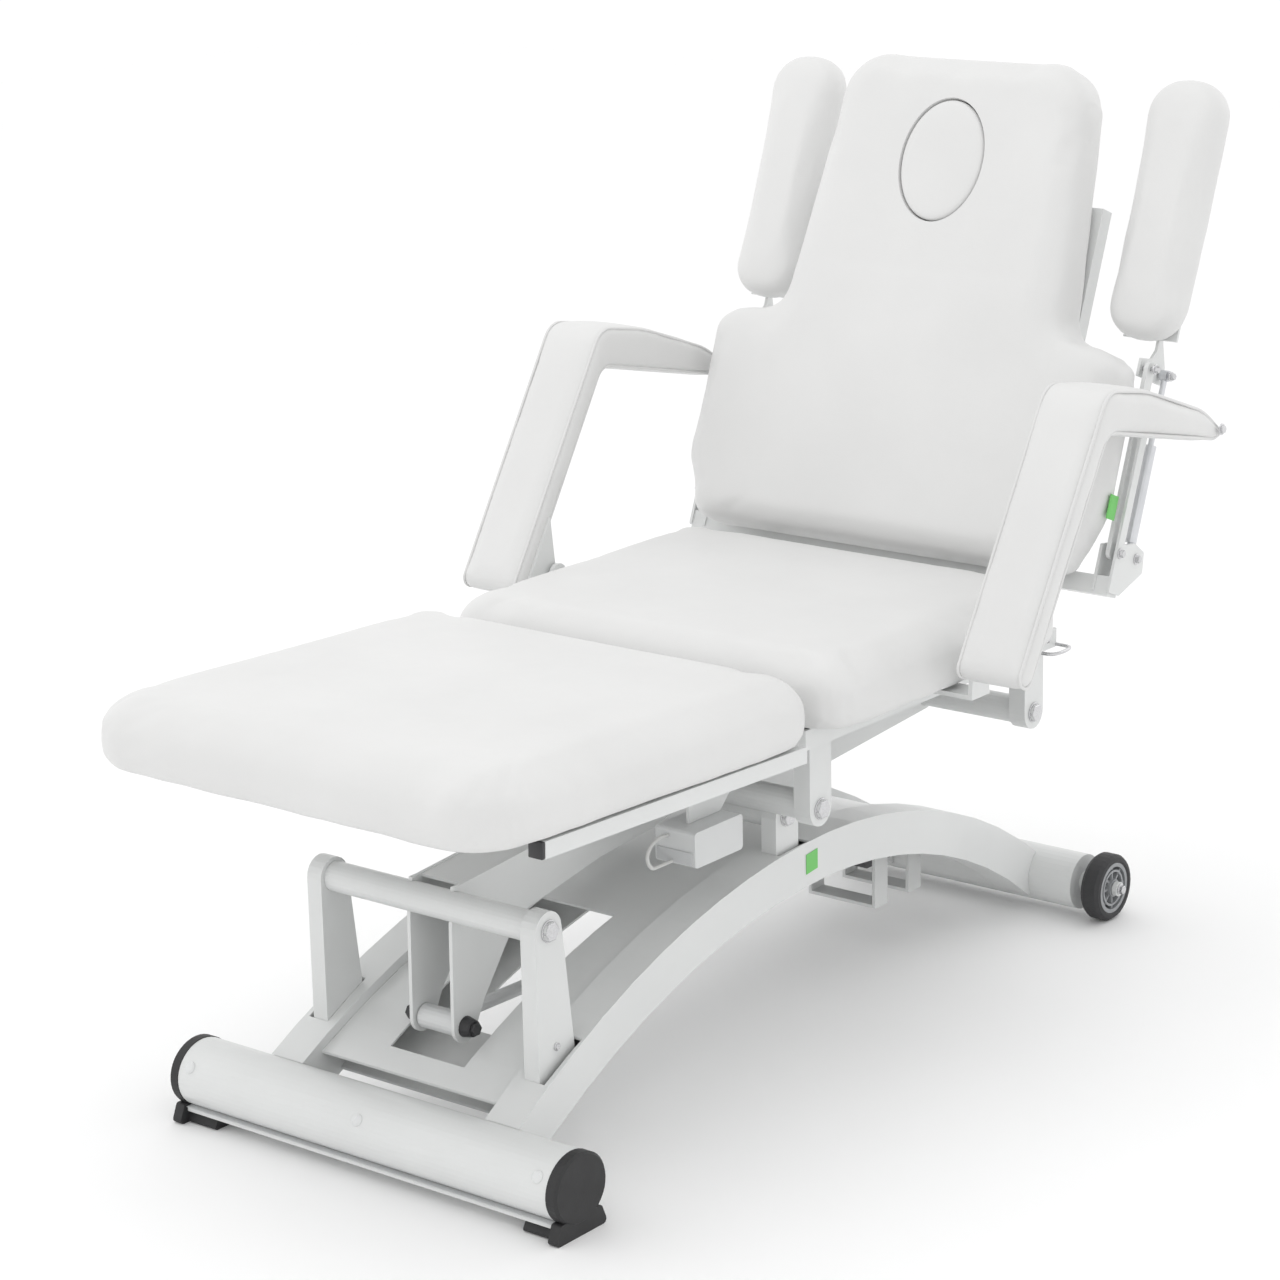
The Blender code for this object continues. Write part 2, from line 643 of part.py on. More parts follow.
def chassis_side(mats, frame, name, side):
    """Side rail with the two hangers of the lift, the leg hinge lug, and the armrest's outrigger."""
    low, high = span(side, RAIL_IN, RAIL_OUT)
    outline = [(0.492, RAIL_LOW), (1.055, RAIL_LOW), (1.055, RAIL_TOP), (0.492, RAIL_TOP)]
    rail = add("chassis_side_" + name, prism("X", outline, low, high), mats["white"], frame)
    pieces = []
    hx0, hx1 = span(side, HANGER_IN, HANGER_IN + HANGER_T)
    for y, z in (PIVOT_B, PIVOT_D):
        pieces.append(prism("X", arc((y, z), 0.0225, 180, 360, 10) + [(y + 0.0225, 0.455), (y - 0.0225, 0.455)], hx0, hx1))
    pieces.append(rod(BACK_HINGE, 0.0170, (RAIL_OUT - HANGER_IN) / 2 - 0.0005, 20, side * (RAIL_OUT + HANGER_IN) / 2))
    lx0, lx1 = span(side, 0.2360, 0.2420)
    pieces.append(prism("X", leg_lug(True), lx0, lx1))
    px0, px1 = span(side, 0.2410, 0.2515)
    pieces.append(lathe("X", LEG_HINGE, [(px0, 0.0), (px0, 0.0030), (px1, 0.0030), (px1, 0.0)], 12))
    ox0, ox1 = span(side, RAIL_OUT - 0.002, 0.3395)
    pieces.append(box(ox0, ox1, 0.730, 0.770, 0.4500, 0.4560))
    ex0, ex1 = span(side, 0.3340, 0.3400)
    pieces.append(prism("X", arc(ARM_P2, 0.0150, 0, 180, 8) + [(0.730, 0.4500), (0.770, 0.4500)], ex0, ex1))
    jx0, jx1 = span(side, 0.3390, 0.3520)
    pieces.append(lathe("X", ARM_P2, [(jx0, 0.0), (jx0, 0.0060), (jx1, 0.0060), (jx1, 0.0)], 14))
    for index, piece in enumerate(pieces):
        boolean(rail, add("chassis_part_%s_%d" % (name, index), piece, mats["white"], frame), "UNION")
    bores = (PIVOT_B, PIVOT_D, BACK_HINGE)
    drill(rail, "chassis_" + name, mats, frame, bores, JOURNAL_R + GAP)
    return rail


def crossmember(mats, frame, name, y, foot=None, x=0.0):
    """Square tube between the rails, with a pair of drilled ears for an actuator's foot."""
    half = RAIL_IN - GAP
    bar = add(name, box(-half, half, y - 0.0125, y + 0.0125, RAIL_LOW, RAIL_TOP), mats["white"], frame, False)
    if foot is None:
        return bar
    for index, offset in enumerate((-0.0310, 0.0260)):
        ear = arc(foot, 0.0145, 180, 360, 8) + [(foot[0] + 0.0125, 0.440), (foot[0] - 0.0125, 0.440)]
        piece = add("%s_ear_%d" % (name, index), prism("X", ear, x + offset, x + offset + 0.005), mats["white"], frame)
        boolean(bar, piece, "UNION")
    drill(bar, name, mats, frame, (foot,), JOURNAL_R + GAP)
    return bar


def front_crossmember(mats, frame):
    """Front crossmember with the plate that the control box hangs from."""
    bar = crossmember(mats, frame, "crossmember_front", 0.5080)
    outline = [(0.497, 0.4400), (0.519, 0.4400), (0.519, 0.400), (0.462, 0.3453), (0.400, 0.3453), (0.400, 0.385),
               (0.455, 0.408), (0.497, 0.4250)]
    plate = add("control_plate", prism("X", outline, 0.148, 0.152), mats["white"], frame, False)
    return boolean(bar, plate, "UNION")


def control_box(mats, frame):
    outline = rounded([(0.375, 0.300), (0.470, 0.300), (0.470, 0.345), (0.375, 0.345)], 0.005, 3)
    return add("control_box", prism("X", outline, 0.120, 0.180), mats["grey_plastic"], frame)


def smooth_route(route, count):
    """Catmull-Rom curve through the route's points."""
    pts = [Vector(p) for p in route]
    pts = [pts[0] * 2 - pts[1]] + pts + [pts[-1] * 2 - pts[-2]]
    out = []
    spans = len(pts) - 3
    for k in range(count + 1):
        t = spans * k / count
        i = min(int(t), spans - 1)
        t -= i
        a, b, c, d = pts[i:i + 4]
        out.append(0.5 * ((2 * b) + (c - a) * t + (2 * a - 5 * b + 4 * c - d) * t * t
                          + (3 * b - a - 3 * c + d) * t * t * t))
    return out


def control_cable(mats, frame):
    """Short lead held in a loop at the front of the control box."""
    route = [(0.140, 0.3740, 0.336), (0.140, 0.358, 0.337), (0.141, 0.340, 0.332), (0.142, 0.331, 0.319),
             (0.143, 0.338, 0.305), (0.144, 0.356, 0.304), (0.146, 0.3740, 0.305)]
    points = [p - frame.at for p in smooth_route(route, 24)]
    curve = bpy.data.curves.new("control_cable", "CURVE")
    curve.dimensions = "3D"
    spline = curve.splines.new("POLY")
    spline.points.add(len(points) - 1)
    for slot, point in zip(spline.points, points):
        slot.co = (*point, 1.0)
    curve.bevel_depth = 0.0024
    curve.bevel_resolution = 2
    curve.use_fill_caps = True
    obj = bpy.data.objects.new("control_cable", curve)
    bpy.context.collection.objects.link(obj)
    obj.parent = frame.empty
    curve.materials.append(mats["cable"])
    return obj


def round_ends(y0, y1, low, high, half):
    """Cushion with half-round ends and softened sides, as a loft across its width."""
    radius = (high - low) / 2
    middle = (high + low) / 2
    bm = bmesh.new()
    rings = []
    for x, shrink in ((-half, 0.016), (-half + 0.003, 0.007), (-half + 0.010, 0.0015), (-half + 0.018, 0.0),
                      (half - 0.018, 0.0), (half - 0.010, 0.0015), (half - 0.003, 0.007), (half, 0.016)):
        reach = radius - shrink
        ring = arc((y1 - radius, middle), reach, -90, 90, 12) + arc((y0 + radius, middle), reach, 90, 270, 12)
        rings.append([bm.verts.new((x, y, z)) for y, z in ring])
    count = len(rings[0])
    for a, b in zip(rings, rings[1:]):
        for i in range(count):
            j = (i + 1) % count
            bm.faces.new((a[i], a[j], b[j], b[i]))
    bm.faces.new(rings[0])
    bm.faces.new(list(reversed(rings[-1])))
    return bm


# ---------------------------------------------------------------- leg section

def leg_section(mats, chassis):
    frame = Frame("leg_axis", (0.0, *LEG_HINGE), chassis, LEG_TILT)
    cushion = round_ends(LEG_Y0, LEG_Y1, DECK + 0.001, SEAT_TOP, HALF_W)
    add("leg_cushion", cushion, mats["leather"], frame)
    low, high = 0.4370, 0.4570
    leg = add("leg_frame", box(-0.2810, 0.2810, 0.380, 0.400, low, high), mats["white"], frame, False)
    pieces = [box(-0.2810, 0.2810, 0.030, 0.050, low, high)]
    for name, side in side_pairs():
        x0, x1 = span(side, 0.280, 0.300)
        pieces.append(box(x0, x1, -0.040, 0.440, low, high))
        x0, x1 = span(side, 0.2445, 0.2505)
        pieces.append(prism("X", leg_lug(False), x0, x1))
    eye = tilted(LEG_HINGE, LEG_EYE, -LEG_TILT)
    for offset in (-0.0220, 0.0170):
        pieces.append(prism("X", bar_outline(eye, (0.389, 0.4450), 0.0115), LEG_SIDE + offset, LEG_SIDE + offset + 0.005))
    pieces.append(rod(eye, 0.0060, 0.0215, 14, LEG_SIDE))
    for index, piece in enumerate(pieces):
        boolean(leg, add("leg_part_%d" % index, piece, mats["white"], frame, False), "UNION")
    drill(leg, "leg", mats, frame, (LEG_HINGE,), 0.0030 + GAP)
    return frame


# ---------------------------------------------------------------- back section

def back_outline():
    """Plan of the back cushion: wide below, stepped in at the shoulders, tapering to the head end."""
    right = [(0.300, BACK_Y0), (0.3345, BACK_Y0 + 0.085), (0.3330, BACK_Y0 + 0.272), (0.3000, BACK_Y0 + 0.295),
             (0.2300, BACK_Y0 + 0.300), (0.1960, BACK_Y1)]
    left = [(-x, y) for x, y in reversed(right)]
    radii = [0.030, 0.060, 0.022, 0.020, 0.030, 0.070]
    return rounded(right + left, radii + list(reversed(radii)), 4)


def oval(grow):
    points = []
    for k in range(32):
        angle = 2 * pi * k / 32
        points.append(((HOLE_A + grow) * cos(angle), HOLE_Y + (HOLE_B + grow) * sin(angle)))
    return points


def side_bracket(side):
    """Outer plate with the strip that carries the armrest's rear pin, and inner plate of one side."""
    pin = tilted(BACK_HINGE, ARM_P4, -BACK_TILT)
    x0, x1 = span(side, 0.3385, 0.3425)
    plate = rounded([(1.100, 0.459), (1.100, 0.432), (1.138, 0.384), (1.165, 0.390), (1.172, 0.417), (1.162, 0.459)],
                    0.003, 2)
    pieces = [prism("X", plate, x0, x1), prism("X", bar_outline((1.140, 0.4515), pin, 0.0075), x0, x1)]
    jx0, jx1 = span(side, 0.3420, 0.3620)
    pieces.append(lathe("X", pin, [(jx0, 0.0), (jx0, 0.0050), (jx1, 0.0050), (jx1, 0.0)], 14))
    x0, x1 = span(side, 0.3155, 0.3195)
    pieces.append(prism("X", plate, x0, x1))
    return pieces


def back_section(mats, chassis):
    frame = Frame("back_axis", (0.0, *BACK_HINGE), chassis, BACK_TILT)
    cushion = add("back_cushion", slab(back_outline(), cushion_layers(BACK_LOW, BACK_TOP, 0.030)), mats["leather"],
                  frame)
    hole = prism("Z", oval(0.0), BACK_LOW - 0.02, BACK_TOP + 0.02)
    boolean(cushion, add("face_hole", hole, mats["leather"], frame), "DIFFERENCE")
    low, high = 0.4330, 0.4570
    back = add("back_frame", box(-0.3390, 0.3390, 1.096, 1.121, low, high), mats["white"], frame, False)
    pieces = [box(-0.2100, 0.2100, 1.475, 1.500, low, high)]
    for name, side in side_pairs():
        x0, x1 = span(side, 0.190, 0.215)
        pieces.append(box(x0, x1, 1.100, 1.600, low, high))
        x0, x1 = span(side, 0.196, 0.208)
        pieces.append(prism("X", bar_outline(BACK_HINGE, (1.108, 0.4450), 0.0120), x0, x1))
        pieces += side_bracket(side)
    eye = tilted(BACK_HINGE, BACK_EYE, -BACK_TILT)
    for offset in (-0.0220, 0.0170):
        outline = [(1.115, 0.4350), (1.115, 0.4550), (1.035, 0.4650), (1.020, 0.4650), (0.968, 0.4410),
                   (0.962, 0.4300), (0.968, 0.4205), (0.978, 0.4205), (1.030, 0.4340)]
        piece = prism("X", outline, BACK_SIDE + offset, BACK_SIDE + offset + 0.005)
        pieces.append(piece)
    pieces.append(rod(eye, 0.0060, 0.0215, 14, BACK_SIDE))
    for index, piece in enumerate(pieces):
        boolean(back, add("back_part_%d" % index, piece, mats["white"], frame, False), "UNION")
    drill(back, "back", mats, frame, (BACK_HINGE,), HINGE_R + GAP)
    return frame


def face_plug(mats, back):
    frame = Frame("plug_axis", (0.0, HOLE_Y, BACK_TOP), back)
    layers = [(BACK_TOP - 0.060, 0.0035), (BACK_TOP - 0.057, 0.0), (BACK_TOP - 0.005, 0.0), (BACK_TOP + 0.001, 0.004)]
    return add("face_hole_plug", slab(oval(-0.0006), layers), mats["leather"], frame)


# ---------------------------------------------------------------- armrests

def armrest_post(mats, frame, name, side):
    """Padded board whose round head turns in the arm pad, with a lug behind it on the seat frame."""
    lean = (0.195, 0.315)
    foot = (0.670, 0.500)
    length = hypot(*lean)
    low, high = span(side, POST_IN, POST_OUT)
    along = (ARM_P3[0] - foot[0]) * lean[0] / length + (ARM_P3[1] - foot[1]) * lean[1] / length
    board = [turned(foot, lean, 0.0, 0.0), turned(foot, lean, 0.0, -0.032)]
    board += [turned(foot, lean, 0.030, -0.034), turned(foot, lean, along - 0.06, -0.034)]
    start = atan2(lean[1], lean[0]) * 180.0 / pi
    board += arc(ARM_P3, 0.0170, start - 90, start + 90, 8)
    board += [turned(foot, lean, along - 0.06, 0.002), turned(foot, lean, 0.030, 0.002)]
    piece = add("armrest_post_" + name, prism("X", board, low, high), mats["leather"], frame)
    lx0, lx1 = span(side, 0.3450, 0.3510)
    lug = arc(ARM_P2, 0.0145, -110, 70, 8) + [turned(foot, lean, 0.115, -0.020), turned(foot, lean, 0.020, -0.020)]
    boolean(piece, add("post_lug_" + name, prism("X", lug, lx0, lx1), mats["leather"], frame), "UNION")
    boolean(piece, add("post_bore_" + name, rod(ARM_P2, 0.0060 + GAP, 0.5, 16), mats["leather"], frame), "DIFFERENCE")
    return piece


def armrest_pad(mats, frame, name, side):
    """Arm pad hollowed round the head of the post and drilled for the back section's pin."""
    y, z = ARM_P3
    run = (ARM_P4[0] - y, ARM_P4[1] - z)
    outline = arc(ARM_P3, 0.0195, 112, -10, 9)
    for along, across in ((0.038, -0.0165), (0.200, -0.0165), (0.285, -0.0160), (0.305, -0.0080), (0.311, 0.0020),
                          (0.300, 0.0110), (0.230, 0.0240), (0.150, 0.0345), (0.085, 0.0410), (0.045, 0.0415),
                          (0.010, 0.0370), (-0.018, 0.0260)):
        outline.append(turned(ARM_P3, run, along, across))
    low, high = span(side, PAD_IN, PAD_OUT)
    piece = add("armrest_pad_" + name, prism("X", outline, low, high), mats["leather"], frame)
    x0, x1 = span(side, PAD_IN - 0.01, 0.3640)
    bore = lathe("X", ARM_P4, [(x0, 0.0), (x0, 0.0060), (x1, 0.0060), (x1, 0.0)], 16)
    return boolean(piece, add("pad_bore_" + name, bore, mats["leather"], frame), "DIFFERENCE")


# ---------------------------------------------------------------- side arms

def side_arm(mats, back, name, side):
    """Stowed arm pad beside the head, on a parallel link and strut behind the back section."""
    link_frame = Frame("side_arm_axis_" + name, (0.0, LINK_Y, LINK_Z), back)
    low, high = span(side, LINK_IN, LINK_OUT)
    link = bar_outline((LINK_Y, LINK_Z), (LINK_END, LINK_Z), 0.0090)
    add("side_arm_" + name, prism("X", link, low, high), mats["zinc"], link_frame)

    strut_frame = Frame("side_strut_axis_" + name, (0.0, LINK_Y, STRUT_Z), back)
    start, run, x = (LINK_Y, STRUT_Z), (1.0, 0.0), side * STRUT_X
    length = LINK_END - LINK_Y
    strut = add("side_strut_" + name, slanted(start, run, 0.020, 0.150, x, 0.0080, 16), mats["zinc"], strut_frame)
    pieces = [slanted(start, run, 0.002, length - 0.002, x, 0.0040, 12)]
    pieces += [rod((start[0] + along, STRUT_Z), 0.0075, 0.0055, 14, x) for along in (0.0, length)]
    for index, piece in enumerate(pieces):
        boolean(strut, add("strut_part_%s_%d" % (name, index), piece, mats["zinc"], strut_frame), "UNION")

    pad_frame = Frame("side_pad_axis_" + name, (0.0, LINK_END, LINK_Z), link_frame)
    low, high = span(side, 0.3155, 0.3195)
    plate = rounded([(LINK_END - 0.012, STRUT_Z - 0.012), (LINK_END + 0.012, STRUT_Z - 0.012), (1.450, 0.4190),
                     (1.450, 0.4240), (1.426, 0.4240), (LINK_END + 0.016, 0.4330), (LINK_END + 0.012, LINK_Z + 0.008),
                     (LINK_END - 0.012, LINK_Z + 0.008)], 0.001, 1)
    carrier = add("side_pad_carrier_" + name, prism("X", plate, low, high), mats["zinc"], pad_frame)
    x0, x1 = span(side, 0.265, 0.345)
    backing = box(x0, x1, 1.440, 1.760, SIDE_LOW - 0.0045, SIDE_LOW - GAP)
    boolean(carrier, add("side_backing_" + name, backing, mats["zinc"], pad_frame, False), "UNION")
    x0, x1 = span(side, SIDE_X0, SIDE_X1)
    outline = rounded([(x0, SIDE_Y0), (x1, SIDE_Y0), (x1, SIDE_Y1), (x0, SIDE_Y1)], 0.045, 5)
    add("side_pad_" + name, slab(outline, cushion_layers(SIDE_LOW, SIDE_TOP, 0.018)), mats["leather"], pad_frame)


# ---------------------------------------------------------------- assembly

def make_materials():
    return {
        "white": material("white_powder_coat", (0.86, 0.86, 0.86), 0.35),
        "leather": material("white_upholstery", (0.88, 0.88, 0.88), 0.45),
        "rubber": material("black_rubber", (0.03, 0.03, 0.03), 0.6),
        "tyre": material("tyre_rubber", (0.05, 0.05, 0.05), 0.6),
        "grey_plastic": material("grey_plastic", (0.62, 0.63, 0.63), 0.4),
        "black_plastic": material("black_plastic", (0.06, 0.06, 0.06), 0.45),
        "steel": material("bright_steel", (0.75, 0.75, 0.76), 0.25, 1.0),
        "zinc": material("grey_strut", (0.52, 0.54, 0.58), 0.35, 0.6),
        "cable": material("cable_sheath", (0.35, 0.36, 0.34), 0.5),
    }


def build_base(mats, root):
    front_crossbar(mats, root)
    rear_crossbar(mats, root)
    base_cover_plate(mats, root)
    base_tray(mats, root)
    hanging_strap(mats, root, "guard_strap", 0.930, 0.960, 0.060, False)
    hanging_strap(mats, root, "actuator_mount_strap", 1.010, 1.040, 0.060, True)
    for name, side in side_pairs():
        front_cap(mats, root, "front_end_cap_" + name, side)
        side_beam(mats, root, "side_beam_" + name, side)
        lift_posts(mats, root, name, side)
        wheel(mats, root, name, side)


def build_lift(mats, root):
    front_arm = Frame("front_arm_axis", (0.0, *PIVOT_A), root)
    rear_arm = Frame("rear_arm_axis", (0.0, *PIVOT_C), root)
    pivot_tube(mats, front_arm, "front_pivot_tube", PIVOT_A, POST_A_IN, POST_A_T)
    pivot_tube(mats, front_arm, "front_upper_tube", PIVOT_B, HANGER_IN, HANGER_T)
    lift_arm_channel(mats, front_arm)
    crank_pin(mats, front_arm)
    pivot_tube(mats, rear_arm, "rear_pivot_tube", PIVOT_C, POST_C_IN, POST_C_T)
    pivot_tube(mats, rear_arm, "rear_upper_tube", PIVOT_D, HANGER_IN, HANGER_T)
    for name, side in side_pairs():
        rear_lever_bar(mats, rear_arm, "rear_lever_bar_" + name, side)
    motor = Frame("height_actuator_axis", (0.0, *MOTOR_FOOT), root)
    actuator_body(mats, motor, "height_actuator_body", MOTOR_FOOT, CRANK_PIN, 0.0, 0.600, (0.0490, 0.0555),
                  (-0.022, 0.022, -0.048, 0.024))
    ram = Frame("height_ram_axis", (0.0, *CRANK_PIN), front_arm)
    height_ram = actuator_ram(mats, ram, "height_actuator_rod", MOTOR_FOOT, CRANK_PIN, 0.0, 0.430, 0.0280)
    drill(height_ram, "height_ram", mats, ram, (CRANK_PIN,), JOURNAL_R + GAP)
    return front_arm


def build_chassis(mats, front_arm):
    chassis = Frame("chassis_axis", (0.0, *PIVOT_B), front_arm)
    for name, side in side_pairs():
        chassis_side(mats, chassis, name, side)
    front_crossmember(mats, chassis)
    crossmember(mats, chassis, "crossmember_leg_motor", LEG_FOOT[0], LEG_FOOT, LEG_SIDE)
    crossmember(mats, chassis, "crossmember_back_motor", BACK_FOOT[0], BACK_FOOT, BACK_SIDE)
    shaft = rod(BACK_HINGE, HINGE_R, RAIL_OUT + 0.003, 20)
    add("back_hinge_shaft", shaft, mats["steel"], chassis)
    add("seat_cushion", round_ends(SEAT_Y0, SEAT_Y1, DECK, SEAT_TOP, HALF_W), mats["leather"], chassis)
    control_box(mats, chassis)
    control_cable(mats, chassis)
    return chassis


def build_sections(mats, chassis):
    leg = leg_section(mats, chassis)
    back = back_section(mats, chassis)
    face_plug(mats, back)
    leg_motor = Frame("leg_actuator_axis", (0.0, *LEG_FOOT), chassis)
    actuator_body(mats, leg_motor, "leg_actuator_body", LEG_FOOT, LEG_EYE, LEG_SIDE, 0.270, (0.0255, 0.0312),
                  (LEG_SIDE + 0.024, LEG_SIDE + 0.062, -0.021, 0.021))
    back_motor = Frame("back_actuator_axis", (0.0, *BACK_FOOT), chassis)
    actuator_body(mats, back_motor, "back_actuator_body", BACK_FOOT, BACK_EYE, BACK_SIDE, 0.290, (0.0255, 0.0312),
                  (BACK_SIDE - 0.062, BACK_SIDE - 0.024, -0.021, 0.021))
    for section, name, foot, eye, x, start in ((leg, "leg", LEG_FOOT, LEG_EYE, LEG_SIDE, 0.160),
                                               (back, "back", BACK_FOOT, BACK_EYE, BACK_SIDE, 0.170)):
        hinge, tilt = (LEG_HINGE, LEG_TILT) if name == "leg" else (BACK_HINGE, BACK_TILT)
        flat = tilted(hinge, eye, -tilt)
        axis = Frame(name + "_ram_axis", (0.0, *flat), section, -tilt)
        axis.at = Vector((0.0, *eye))
        ram = actuator_ram(mats, axis, name + "_actuator_rod", foot, eye, x, start, 0.0165)
        drill(ram, name + "_ram", mats, axis, (eye,), 0.0060 + GAP)
    for name, side in side_pairs():
        post_frame = Frame("armrest_post_axis_" + name, (0.0, *ARM_P2), chassis)
        armrest_post(mats, post_frame, name, side)
        pad_frame = Frame("armrest_pad_axis_" + name, (0.0, *ARM_P3), post_frame)
        armrest_pad(mats, pad_frame, name, side)
        side_arm(mats, back, name, side)


def build():
    clear_scene()
    mats = make_materials()
    root = Frame("base_origin", (0.0, 0.0, 0.0))
    root.empty.location.y = -CENTRE_Y
    build_base(mats, root)
    front_arm = build_lift(mats, root)
    chassis = build_chassis(mats, front_arm)
    build_sections(mats, chassis)


build()
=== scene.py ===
import json
import math
import bpy
import bmesh
from mathutils import Matrix, Vector, noise


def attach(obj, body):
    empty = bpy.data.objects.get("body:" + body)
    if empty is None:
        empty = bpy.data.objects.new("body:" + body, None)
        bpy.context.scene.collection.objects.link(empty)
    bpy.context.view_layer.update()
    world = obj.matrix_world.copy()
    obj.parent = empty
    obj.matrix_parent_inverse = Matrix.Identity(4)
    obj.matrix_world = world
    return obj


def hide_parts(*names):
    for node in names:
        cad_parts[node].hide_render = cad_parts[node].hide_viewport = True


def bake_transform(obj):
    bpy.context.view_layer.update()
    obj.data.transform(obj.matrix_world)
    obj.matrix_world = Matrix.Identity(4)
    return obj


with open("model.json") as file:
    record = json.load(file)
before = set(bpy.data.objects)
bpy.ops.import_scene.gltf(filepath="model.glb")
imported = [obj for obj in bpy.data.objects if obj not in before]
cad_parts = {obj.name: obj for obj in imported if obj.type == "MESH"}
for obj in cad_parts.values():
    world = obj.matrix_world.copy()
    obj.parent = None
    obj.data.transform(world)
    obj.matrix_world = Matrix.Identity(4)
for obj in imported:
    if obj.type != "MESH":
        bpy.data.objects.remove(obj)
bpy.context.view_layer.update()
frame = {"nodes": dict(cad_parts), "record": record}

SHIFT = -0.5827                         # the record's origin, from the front crossbar's axis
LEG_HINGE, LEG_TILT = (0.470, 0.482), -2.0
BACK_HINGE, BACK_TILT = (1.030, 0.450), 68.5
ARM_P2, ARM_P3, ARM_P4 = (0.750, 0.510), (0.860, 0.790), (1.140, 0.730)
WHEEL = (1.2187, 0.0465)
FRONT_PIVOT, FRONT_UPPER, CRANK = (0.104, 0.3033), (0.556, 0.3380), (0.116, 0.1505)
MID_PIVOT, REAR_UPPER = (0.588, 0.3060), (1.040, 0.3407)
LINK_LOW, LINK_HIGH = 1.1532, 1.3968    # side arm pins, drawn flat with the back section
LINK_Z, STRUT_Z = 0.4510, 0.4070
HOLE_Y, HOLE_A, HOLE_B = 1.631, 0.0650, 0.0840
ARM_IN, ARM_OUT = 0.3485, 0.4465
PIPING = 0.0021
PIVOT_HEAD, LINK_HEAD = 0.0122, 0.0050


# ---------------------------------------------------------------- frames of the sections

def section(hinge, tilt):
    """Matrix from a section drawn flat to its place at rest."""
    pivot = Vector((0.0, hinge[0], hinge[1]))
    tilted = Matrix.Rotation(math.radians(tilt), 4, "X")
    turn = Matrix.Translation(pivot) @ tilted @ Matrix.Translation(-pivot)
    return Matrix.Translation((0.0, SHIFT, 0.0)) @ turn


STILL = Matrix.Translation((0.0, SHIFT, 0.0))
LEG = section(LEG_HINGE, LEG_TILT)
BACK = section(BACK_HINGE, BACK_TILT)


# ---------------------------------------------------------------- materials

def new_material(name, color, roughness, metallic=0.0):
    mat = bpy.data.materials.new(name)
    mat.use_nodes = True
    nodes, links = mat.node_tree.nodes, mat.node_tree.links
    shader = nodes["Principled BSDF"]
    shader.inputs["Roughness"].default_value = roughness
    shader.inputs["Metallic"].default_value = metallic
    shader.inputs["Base Color"].default_value = (*color, 1.0)
    coords = nodes.new("ShaderNodeTexCoord")
    return mat, nodes, links, shader, coords


def tone(nodes, links, shader, coords, color, spread, scale):
    """A faint cloudy variation of the base colour."""
    cloud = nodes.new("ShaderNodeTexNoise")
    cloud.inputs["Scale"].default_value = scale
    cloud.inputs["Detail"].default_value = 4.0
    ramp = nodes.new("ShaderNodeValToRGB")
    ramp.color_ramp.elements[0].position = 0.3
    ramp.color_ramp.elements[1].position = 0.7
    ramp.color_ramp.elements[0].color = (*[c * (1.0 - spread) for c in color], 1.0)
    ramp.color_ramp.elements[1].color = (*[min(1.0, c * (1.0 + spread)) for c in color], 1.0)
    links.new(coords.outputs["Object"], cloud.inputs["Vector"])
    links.new(cloud.outputs["Fac"], ramp.inputs["Fac"])
    links.new(ramp.outputs["Color"], shader.inputs["Base Color"])


def roughness_noise(nodes, links, shader, coords, low, high, scale):
    grain = nodes.new("ShaderNodeTexNoise")
    grain.inputs["Scale"].default_value = scale
    grain.inputs["Detail"].default_value = 3.0
    spread = nodes.new("ShaderNodeMapRange")
    spread.inputs["To Min"].default_value = low
    spread.inputs["To Max"].default_value = high
    links.new(coords.outputs["Object"], grain.inputs["Vector"])
    links.new(grain.outputs["Fac"], spread.inputs["Value"])
    links.new(spread.outputs["Result"], shader.inputs["Roughness"])


def bump(nodes, links, shader, height, strength, distance, below=None):
    node = nodes.new("ShaderNodeBump")
    node.inputs["Strength"].default_value = strength
    node.inputs["Distance"].default_value = distance
    links.new(height, node.inputs["Height"])
    if below:
        links.new(below.outputs["Normal"], node.inputs["Normal"])
    links.new(node.outputs["Normal"], shader.inputs["Normal"])
    return node


def leather():
    """Semi-matt synthetic leather: pebble grain over slow, shallow creases."""
    color = (0.70, 0.70, 0.695)
    mat, nodes, links, shader, coords = new_material("upholstery_leather", color, 0.46)
    tone(nodes, links, shader, coords, color, 0.018, 7.0)
    roughness_noise(nodes, links, shader, coords, 0.40, 0.54, 60.0)
    crease = nodes.new("ShaderNodeTexNoise")
    crease.inputs["Scale"].default_value = 16.0
    crease.inputs["Detail"].default_value = 5.0
    crease.inputs["Distortion"].default_value = 0.6
    links.new(coords.outputs["Object"], crease.inputs["Vector"])
    slow = bump(nodes, links, shader, crease.outputs["Fac"], 0.10, 0.003)
    pebble = nodes.new("ShaderNodeTexVoronoi")
    pebble.feature = "SMOOTH_F1"
    pebble.inputs["Scale"].default_value = 620.0
    links.new(coords.outputs["Object"], pebble.inputs["Vector"])
    bump(nodes, links, shader, pebble.outputs["Distance"], 0.12, 0.0004, slow)
    shader.inputs["Sheen Weight"].default_value = 0.08
    shader.inputs["Sheen Roughness"].default_value = 0.45
    shader.inputs["Specular IOR Level"].default_value = 0.42
    return mat


